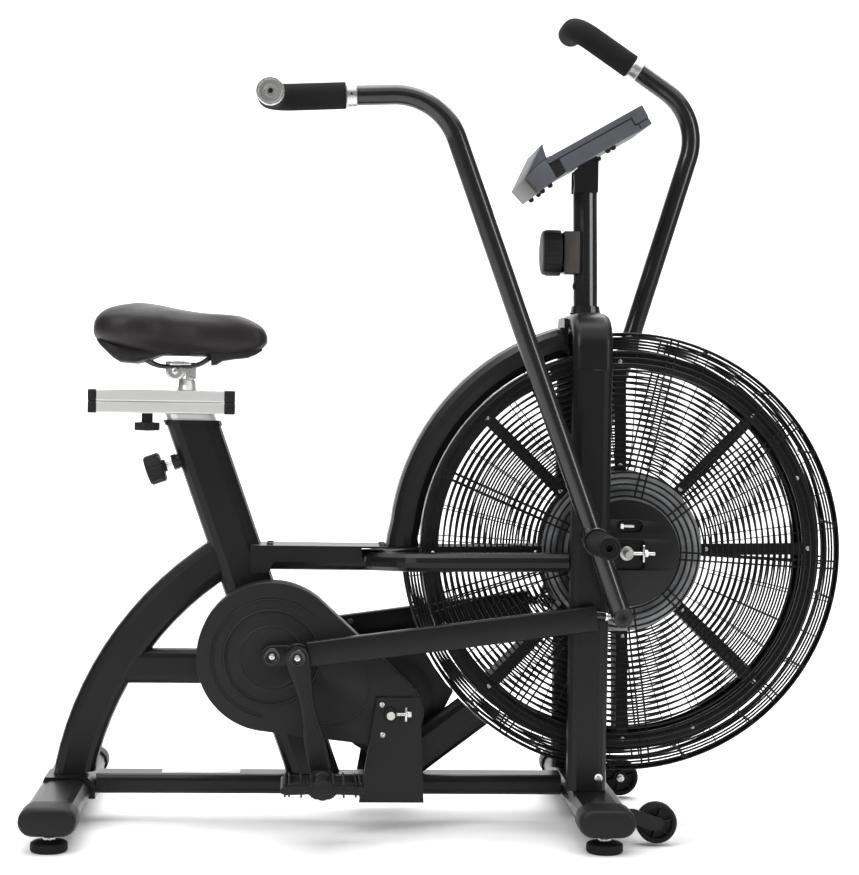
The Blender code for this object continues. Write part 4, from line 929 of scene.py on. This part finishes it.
def build_hub_plates():
    for side, sign in SIDES:
        inner = 0.07
        outer = 0.0827
        low, high = sorted((sign * inner, sign * outer))
        upper = [(FAN.x + 0.004 + u, FAN.z + 0.0405 + v) for u, v in oval(0.04, 0.019, 10)]
        recess = [(FAN.x + 0.002 + u, FAN.z - 0.002 + v) for u, v in rounded(0.052, 0.046, 0.007, 5)]
        disc_plate = bevel(plate("hub", disc(FAN, 0.08, 96), low, high, "powder", [upper, recess]), 0.0012,
            2)
        parts = [disc_plate]
        back = sign * (inner + 0.002)
        parts.append(plate("back", disc(FAN, 0.05, 48), *sorted((back, back + sign * 0.0015)), "powder",
            [disc(FAN, 0.0066, 24)]))
        eye = FAN + Y_AXIS * sign * 0.085
        parts.append(turned("eye", [(0.006, -0.003), (0.01, -0.003), (0.0108, -0.002), (0.0108, 0.002),
            (0.01, 0.003), (0.006, 0.003)], eye, Y_AXIS, "zinc", 36))
        parts.append(rod("thread", eye + X_AXIS * 0.0095, eye + X_AXIS * 0.043, 0.0029, "zinc"))
        parts.append(bevel(plate("washer", rounded(0.008, 0.027, 0.003, 4), 0.0, 0.003, "zinc", axis="X"),
            0.0004, 1))
        parts[-1].data.transform(Matrix.Translation((eye.x + 0.024, eye.y, eye.z)))
        parts.append(nut("tension_nut", eye + X_AXIS * 0.0272, X_AXIS, 0.0062, 0.005))
        parts.append(rod("upper_bar", (FAN.x - 0.008, sign * 0.077, FAN.z + 0.0405), (FAN.x + 0.012,
            sign * 0.077, FAN.z + 0.0405), 0.003, "zinc"))
        parts.append(nut("upper_nut", (FAN.x - 0.0095, sign * 0.077, FAN.z + 0.0405), X_AXIS, 0.006, 0.005))
        settle(join(f"hub_cover_{side}", parts), "frame", f"hub_plate_{side}")


def build_tensioners():
    """Eye-bolt, washer, nut and screws on the upright bracket plates."""
    for side, sign in SIDES:
        face = sign * 0.1031
        eye = Vector((LAY.x, face + sign * 0.0035, LAY.z))
        parts = [turned("eye", [(0.006, -0.0028), (0.0088, -0.0028), (0.0096, -0.0018), (0.0096, 0.0018),
            (0.0088, 0.0028), (0.006, 0.0028)], eye, Y_AXIS, "powder", 36), rod("neck",
            eye + X_AXIS * 0.0085, eye + X_AXIS * 0.029, 0.0026, "zinc"), nut("nut", eye + X_AXIS * 0.0245,
            X_AXIS, 0.005, 0.0065), bolt("axle_end", eye + Y_AXIS * sign * 0.0005, Y_AXIS * sign, 0.0058,
            0.004, "powder")]
        washer = bevel(plate("washer", rounded(0.0075, 0.021, 0.002, 3), 0.0, 0.003, "zinc", axis="X"),
            0.0004, 1)
        washer.data.transform(Matrix.Translation((eye.x + 0.0215, eye.y, eye.z)))
        parts.append(washer)
        for x, z in ((-0.0905, 0.1905), (-0.089, 0.146)):
            parts.append(bolt("plate_screw", (x, face, z), Y_AXIS * sign, 0.004, 0.0022, "steel"))
        settle(join(f"chain_tensioner_{side}", parts), "frame")


# ---- console ----------------------------------------------------------------------------
def build_console():
    along = Vector((math.cos(CONSOLE_TILT), 0, math.sin(CONSOLE_TILT)))
    normal = Vector((-along.z, 0, along.x))

    def spots(points):
        made = []
        for u, v in points:
            point = CONSOLE_HINGE + along * u + normal * v
            made.append((point.x, point.z))
        return made

    main = bevel(plate("main", spots([(-0.064, -0.001), (0.0985, -0.001), (0.0985, 0.03), (-0.064, 0.03)]),
        -0.0955, 0.0955, "slate_dark"), 0.002, 3)
    bezel = bevel(plate("bezel", spots([(-0.065, 0.0215), (0.076, 0.0215), (0.076, 0.0095),
        (0.0988, 0.0095), (0.0988, 0.0305), (-0.065, 0.03)]), -0.1, 0.1, "slate"), 0.0012, 2)
    tray = bevel(plate("tray", spots([(-0.048, -0.0012), (0.08, -0.0012), (0.08, 0.0082), (0.0748, 0.0082),
        (0.0748, 0.0203), (-0.048, 0.0203)]), -0.0985, 0.0985, "slate"), 0.001, 2)
    tail = bevel(plate("tail", spots([(0.0812, -0.0012), (0.0985, -0.0012), (0.0985, 0.0083),
        (0.0812, 0.0083)]), -0.0988, 0.0988, "slate"), 0.0008, 2)
    seam = bevel(plate("seam", spots([(-0.066, -0.003), (-0.05, -0.0022), (-0.05, 0.018), (-0.066, 0.018)]),
        -0.0975, 0.0975, "plastic"), 0.001, 2)
    block = bevel(plate("block", spots([(-0.102, -0.0085), (-0.065, -0.0034), (-0.065, 0.0285),
        (-0.08, 0.027), (-0.1086, 0.018)]), -0.099, 0.099, "slate"), 0.0014, 2)
    skin = bevel(plate("end_skin", spots([(-0.1026, -0.0087), (-0.098, -0.008), (-0.104, 0.0186),
        (-0.109, 0.0183)]), -0.0996, 0.0996, "brown"), 0.001, 2)
    lip = bevel(plate("lip", spots([(-0.1088, 0.0176), (-0.1064, 0.0168), (-0.08, 0.0345), (-0.06, 0.048),
        (-0.0586, 0.0492), (-0.06, 0.0512), (-0.062, 0.0508)]), -0.096, 0.096, "slate"), 0.0006, 2)
    parts = [main, bezel, tray, tail, seam, block, skin, lip]
    for y in (-0.095, 0.091):
        parts.append(plate("wedge", spots([(-0.1062, 0.0172), (-0.064, 0.027), (-0.06, 0.0482),
            (-0.08, 0.0349)]), y, y + 0.004, "slate"))
    screen = bevel(plate("glass", spots([(-0.048, 0.03), (0.08, 0.03), (0.08, 0.0316), (-0.048, 0.0316)]),
        -0.064, 0.064, "screen"), 0.0006, 2)
    parts.append(screen)
    for y in (-0.06, -0.03, 0.0, 0.03, 0.06):
        at = CONSOLE_HINGE - along * 0.058 + normal * 0.0302 + Y_AXIS * y
        parts.append(turned("button", [(0, 0), (0.0075, 0), (0.0075, 0.001), (0.0066, 0.0018), (0, 0.002)],
            at, normal, "plastic", 32))
    for u, v in ((-0.09, -0.0066), (-0.076, -0.0048), (0.025, -0.0015), (0.034, -0.0015)):
        for y in (-0.078, 0.078):
            at = CONSOLE_HINGE + along * u + normal * v + Y_AXIS * y
            parts.append(bolt("under_screw", at, -normal, 0.0044, 0.0062, "plastic", False))
    parts.append(rod("barrel", CONSOLE_HINGE - Y_AXIS * 0.018, CONSOLE_HINGE + Y_AXIS * 0.018, 0.0175,
        "gloss", 48))
    settle(join("display_unit", parts), "console", "console")
    build_console_knob()
    build_post_top()


def build_post_top():
    """Cheeks of the post around the console's hinge, and the housing behind the knob."""
    left, middle, right = 0.1932, CONSOLE_HINGE.x, 0.2296
    cheeks = []
    for side in (-1, 1):
        outline = [(left, 0.96), (right, 0.96), (right, 1.0122), (middle, 1.0055), (left, 0.9926)]
        cheeks.append(plate("cheek", outline, *sorted((side * 0.0181, side * 0.0197)), "gloss"))
    settle(join("post_cheeks", cheeks), "frame")
    housing = plate("housing", [(0.1795, 0.837), (0.203, 0.837), (0.203, 0.901), (0.1795, 0.901)], -0.0206,
        0.0206, "brown")
    settle(bevel(housing, 0.0015, 2), "frame")
    screw = bolt("post_screw", (0.1975, -0.004, 0.818), -X_AXIS, 0.005, 0.003, "powder")
    settle(screw, "frame")


def build_console_knob():
    x = 0.2155 - 0.036 - GAP
    profile = [(0, 0), (0.008, 0), (0.008, 0.002), (0.03, 0.003), (0.0345, 0.0042), (0.0352, 0.007),
        (0.0352, 0.025), (0.033, 0.031), (0.029, 0.033), (0.018, 0.0322), (0, 0.0318)]
    settle(turned("resistance_knob", profile, (x, 0, 0.8685), -X_AXIS, "plastic", 144, 24, 0.0022, (5, 6)),
        "console_knob", "console_knob")


# ---- seat -------------------------------------------------------------------------------
def seat_axis(z):
    return Vector((BB.x - 0.0048 - (z - BB.z) * math.tan(SEAT_LEAN), 0.0, z))


def build_seat_trim():
    for body, low, z in (("seat_slide", "lower", 0.6242), ("saddle_slide", "upper", 0.6418)):
        caps = []
        for x0, x1 in ((-0.5359, -0.5225), (-0.332, -0.316)):
            caps.append(bevel(sweep("cap", [(x0, 0, z), (x1, 0, z)], rounded(0.0182, 0.0408, 0.003, 3),
                Y_AXIS, "plastic"), 0.0012, 2))
        settle(join(f"rail_caps_{low}", caps), body)
    stub = [turned("collar", [(0.0112, 0), (0.016, 0), (0.0135, 0.004), (0.0128, 0.014), (0.0118, 0.0155),
        (0.0112, 0.0155)], (-0.3885, 0, 0.6507), Z_AXIS, "alu", 48)]
    settle(join("stub_collar", stub), "saddle_slide")
    at = seat_axis(0.557) - SEAT_NORMAL * (0.0385 + 0.01 + GAP)
    knob = turned("knob", [(0, 0.01), (0.0092, 0.01), (0.0096, 0.0145), (0.02, 0.015), (0.0226, 0.0175),
        (0.0226, 0.0372), (0.02, 0.0402), (0.012, 0.041), (0, 0.0415)], at, -SEAT_NORMAL, "plastic", 144,
        16, 0.0026, (4, 5))
    stem = rod("stem", at + SEAT_NORMAL * 0.012, at - SEAT_NORMAL * 0.01, 0.0043, "zinc", 24)
    settle(join("pull_pin", [knob, stem]), "height_pin", "height_pin")
    boss = nut("pin_boss", at + SEAT_NORMAL * 0.0002, SEAT_NORMAL, 0.0128, 0.008, "powder")
    settle(boss, "frame")
    fore = turned("fore_knob", [(0, 0), (0.0085, 0), (0.0085, 0.0125), (0.012, 0.0132), (0.0185, 0.0136),
        (0.0192, 0.015), (0.0192, 0.024), (0.0182, 0.0256), (0, 0.0265)], (-0.448, 0, 0.633 - 0.0176 - GAP),
        -Z_AXIS, "plastic", 120, 14, 0.0024, (5, 6))
    settle(fore, "slide_knob", "slide_knob")


SADDLE = ((-0.53, 0.03, 0.729, 0.748), (-0.524, 0.06, 0.722, 0.764), (-0.505, 0.083, 0.712, 0.7765),
    (-0.47, 0.095, 0.705, 0.7805), (-0.435, 0.09, 0.7036, 0.778), (-0.4, 0.066, 0.7036, 0.7715),
    (-0.365, 0.046, 0.703, 0.7668), (-0.325, 0.04, 0.703, 0.7648), (-0.295, 0.034, 0.706, 0.761),
    (-0.275, 0.025, 0.7115, 0.752), (-0.2655, 0.012, 0.719, 0.74))


def between(stations, steps):
    points = [Vector(s[:3]).to_4d() for s in stations]
    for point, station in zip(points, stations):
        point.w = station[3]
    padded = [points[0] * 2 - points[1]] + points + [points[-1] * 2 - points[-2]]
    made = []
    for i in range(1, len(padded) - 2):
        a, b, c, d = padded[i - 1:i + 3]
        for s in range(steps):
            t = s / steps
            made.append(0.5 * ((2 * b) + (c - a) * t + (2 * a - 5 * b + 4 * c - d) * t * t + (3 * b - a
                - 3 * c + d) * t ** 3))
    made.append(points[-1])
    return [tuple(p) for p in made]


def loft(name, stations, finish, shrink=0.0, steps=32, power=0.72):
    """A body through rounded sections along X; shrink pulls each section in."""
    vertices = []
    for x, half, low, top in stations:
        half = max(half - shrink, 0.002)
        low += shrink
        top -= shrink
        for i in range(steps):
            angle = 2 * math.pi * i / steps
            c = math.cos(angle)
            s = math.sin(angle)
            u = math.copysign(abs(c) ** power, c)
            w = math.copysign(abs(s) ** power, s)
            vertices.append((x, half * u, (low + top) / 2 + (top - low) / 2 * w))
    rows = len(stations)
    faces = []
    for row in range(rows - 1):
        for i in range(steps):
            j = (i + 1) % steps
            a = row * steps
            b = a + steps
            faces.append((a + i, a + j, b + j, b + i))
    faces.append(tuple(range(steps)))
    faces.append(tuple(range((rows - 1) * steps, rows * steps)))
    return make(name, vertices, faces, finish, 60)


def build_saddle():
    saddle = loft("saddle_pad", between(SADDLE, 4), "vinyl", 0.003)
    fine = saddle.modifiers.new("remesh", "REMESH")
    fine.mode = "VOXEL"
    fine.voxel_size = 0.0045
    bake(saddle)
    start = [v.co.copy() for v in saddle.data.vertices]
    cloth = saddle.modifiers.new("cloth", "CLOTH")
    cloth.settings.use_pressure = True
    cloth.settings.uniform_pressure_force = 4.0
    cloth.settings.effector_weights.gravity = 0.0
    for number in range(1, 21):
        bpy.context.scene.frame_set(number)
    bake(saddle)
    bpy.context.scene.frame_set(1)
    limit = 0.0045
    for vertex, before in zip(saddle.data.vertices, start):
        move = vertex.co - before
        if move.length > limit:
            move = move.normalized() * limit
        spot = before + move
        vertex.co = spot
    soft = saddle.modifiers.new("smooth", "SMOOTH")
    soft.iterations = 6
    soft.factor = 0.5
    fine = saddle.modifiers.new("subdivision", "SUBSURF")
    fine.levels = 1
    fine.render_levels = 1
    bake(saddle)
    if saddle.data.materials[0] is None:
        saddle.data.materials[0] = MATERIALS["vinyl"]
    shade(saddle, 80)
    settle(saddle, "saddle_tilt", "saddle")
    build_saddle_base()
    build_clamp()


def build_saddle_base():
    """Hard shell under the pad, with a deep skirt at the back and one at the nose."""
    stations = ((-0.5215, 0.04, 0.723, 0.7285), (-0.515, 0.056, 0.715, 0.7275), (-0.505, 0.063, 0.7055,
        0.725), (-0.496, 0.066, 0.697, 0.722), (-0.486, 0.067, 0.6912, 0.72), (-0.464, 0.064, 0.6895,
        0.718), (-0.448, 0.06, 0.6935, 0.716), (-0.43, 0.053, 0.701, 0.714), (-0.408, 0.044, 0.705, 0.713),
        (-0.385, 0.034, 0.7068, 0.713), (-0.355, 0.027, 0.7068, 0.713))
    nose = ((-0.352, 0.025, 0.6885, 0.7116), (-0.345, 0.025, 0.689, 0.7116), (-0.336, 0.024, 0.695, 0.7118),
        (-0.32, 0.022, 0.698, 0.7125), (-0.298, 0.019, 0.7005, 0.714), (-0.285, 0.014, 0.706, 0.715),
        (-0.276, 0.008, 0.712, 0.717))
    parts = [loft("shell", stations, "shell", 0.0, 28, 0.45), loft("nose", nose, "shell", 0.0, 28, 0.45)]
    settle(join("saddle_shell", parts), "saddle_tilt", "saddle_base")


def build_clamp():
    parts = []
    for sign in (-1, 1):
        at = CLAMP + Vector((-0.007, sign * 0.02, -0.0025))
        half_round = [(at.x - 0.0145, at.z + 0.014)]
        half_round += [(at.x + 0.0145 * math.cos(math.radians(a)), at.z + 0.0145 * math.sin(math.radians(
            a))) for a in range(180, 361, 10)]
        half_round.append((at.x + 0.0145, at.z + 0.014))
        parts.append(bevel(plate("ear", half_round, *sorted((at.y, at.y + sign * 0.005)), "zinc"), 0.0008,
            2))
        parts.append(turned("serration", [(0.007, 0), (0.011, 0), (0.011, 0.0012), (0.007, 0.0012)],
            at + Y_AXIS * sign * 0.005, Y_AXIS * sign, "steel", 72, 24, 0.0008, (1, 2)))
        parts.append(bolt("clamp_bolt", at + Y_AXIS * sign * 0.005, Y_AXIS * sign, 0.0056, 0.0045, "zinc"))
        points = [(-0.464, sign * 0.04, 0.704), (-0.45, sign * 0.036, 0.696), (-0.436, sign * 0.029, 0.689),
            (-0.42, sign * 0.024, 0.6862), (-0.385, sign * 0.023, 0.6872), (-0.366, sign * 0.019, 0.6925),
            (-0.35, sign * 0.014, 0.7045)]
        parts.append(sweep("rail", smooth_path(points, 6), circle(0.0035, 16), Y_AXIS, "gloss"))
    parts.append(rod("clamp_axle", CLAMP - Y_AXIS * 0.021, CLAMP + Y_AXIS * 0.021, 0.01, "zinc", 40))
    top = bevel(plate("saddle_clip", [(CLAMP.x - 0.015, 0.6885), (CLAMP.x - 0.015, 0.6915),
        (CLAMP.x - 0.007, 0.6945), (CLAMP.x + 0.007, 0.6945), (CLAMP.x + 0.017, 0.6925), (CLAMP.x + 0.017,
        0.689)], -0.027, 0.027, "zinc"), 0.001, 2)
    parts.append(top)
    for sign in (-1, 1):
        parts.append(bevel(plate("bracket", [(CLAMP.x + 0.008, 0.668), (CLAMP.x + 0.023, 0.668),
            (CLAMP.x + 0.023, 0.693), (CLAMP.x + 0.008, 0.693)], *sorted((sign * 0.012, sign * 0.015)),
            "zinc"), 0.0008, 1))
    settle(join("saddle_clamp_set", parts), "saddle_tilt", "saddle_clamp")


# ---- finishes, stage --------------------------------------------------------------------
def build_dress():
    dress("powder", "base_rail", "rear_stabilizer", "front_stabilizer", "rear_arc_tube", "rear_brace",
        "seat_tube", "top_channel", "arch_tube", "mast_leg_near", "mast_leg_far", "diagonal_strut",
        "bracket_plate_near", "bracket_plate_far")
    dress("powder", "side_tube_near", "side_tube_far")
    dress("gloss", "console_post")
    dress("cover", "second_cover")
    dress("steel", "fan_axle", "crank_axle", "intermediate_shaft")
    dress("alu", "seat_post", "lower_rail", "upper_rail")


def aim(item, at):
    item.rotation_euler = (Vector(at) - item.location).to_track_quat("-Z", "Y").to_euler()


def light(name, place, at, size, power, colour=(1, 1, 1)):
    data = bpy.data.lights.new(name, "AREA")
    data.shape = "RECTANGLE"
    data.size = size[0]
    data.size_y = size[1]
    data.energy = power
    data.color = colour
    item = bpy.data.objects.new(name, data)
    item.location = place
    bpy.context.scene.collection.objects.link(item)
    aim(item, at)


def build_stage():
    """White sweep, a world that is white to the camera and dim to the surfaces, and soft lamps."""
    rows = [(FLOOR_FRONT, 0.0), (CURVE_START, 0.0)]
    for i in range(1, CURVE_STEPS + 1):
        turn = math.radians(90 * i / CURVE_STEPS)
        rows.append((CURVE_START + CURVE_RADIUS * math.sin(turn), CURVE_RADIUS * (1 - math.cos(turn))))
    rows.append((CURVE_START + CURVE_RADIUS, WALL_TOP))
    vertices = []
    for y, z in rows:
        vertices += [(-FLOOR_HALF_WIDTH, y, z), (FLOOR_HALF_WIDTH, y, z)]
    faces = [(2 * i, 2 * i + 1, 2 * i + 3, 2 * i + 2) for i in range(len(rows) - 1)]
    floor = make("floor", vertices, faces, "label")
    floor.data.materials[0] = shader("floor_paint", (0.9, 0.9, 0.9), 0.7, spread=0.01, grain=40,
        rough_spread=0.05, broad=0.6)
    world = bpy.data.worlds.new("studio")
    world.use_nodes = True
    tree = world.node_tree
    back = tree.nodes["Background"]
    path = tree.nodes.new("ShaderNodeLightPath")
    level = tree.nodes.new("ShaderNodeMapRange")
    level.inputs["To Min"].default_value = WORLD_LIGHT
    level.inputs["To Max"].default_value = 1.0
    tree.links.new(path.outputs["Is Camera Ray"], level.inputs["Value"])
    tree.links.new(level.outputs["Result"], back.inputs["Strength"])
    back.inputs["Color"].default_value = (1.0, 1.0, 1.0, 1.0)
    bpy.context.scene.world = world
    light("key", (-2.4, -2.4, 2.3), (0.0, 0.0, 0.6), (0.9, 2.0), 62)
    light("fill", (2.8, -2.0, 1.5), (0.1, 0.0, 0.6), (0.7, 1.8), 34)
    light("back", (0.6, 2.0, 2.9), (0.0, 0.0, 0.6), (2.6, 0.8), 40)
    light("ceiling", (0.0, -1.0, 6.0), (0.0, -1.0, 0.0), (13.0, 13.0), 780)
    light("top", (0.0, -0.1, 3.3), (0.0, 0.0, 0.4), (2.2, 1.2), 45)
    light("wall", (0.0, 1.2, 3.9), (0.0, 3.6, 1.0), (5.0, 1.0), 90)


def build_camera():
    data = bpy.data.cameras.new("camera")
    item = bpy.data.objects.new("camera", data)
    bpy.context.scene.collection.objects.link(item)
    level = math.cos(CAMERA_PITCH)
    ahead = Vector((math.sin(CAMERA_YAW) * level, math.cos(CAMERA_YAW) * level, math.sin(CAMERA_PITCH)))
    right = Vector((math.cos(CAMERA_YAW), -math.sin(CAMERA_YAW), 0))
    up = right.cross(ahead)
    turned_right = right * math.cos(CAMERA_ROLL) + up * math.sin(CAMERA_ROLL)
    turned_up = up * math.cos(CAMERA_ROLL) - right * math.sin(CAMERA_ROLL)
    matrix = Matrix((turned_right, turned_up, -ahead)).transposed().to_4x4()
    matrix.translation = CAMERA_PLACE
    item.matrix_world = matrix
    data.sensor_fit = "AUTO"
    data.sensor_width = SENSOR_WIDTH
    data.lens = LENS
    bpy.context.scene.camera = item


build_camera()
build_stage()
build_dress()
build_base()
build_frame_trim()
build_mast_head()
build_chain_cover()
build_cranks()
build_pushrods()
build_levers()
for guard_side, guard_sign in SIDES:
    build_guard(guard_side, guard_sign)
build_rim_bolts()
build_fan()
build_hub_plates()
build_tensioners()
build_console()
build_seat_trim()
build_saddle()
bpy.context.scene.view_settings.view_transform = "Standard"
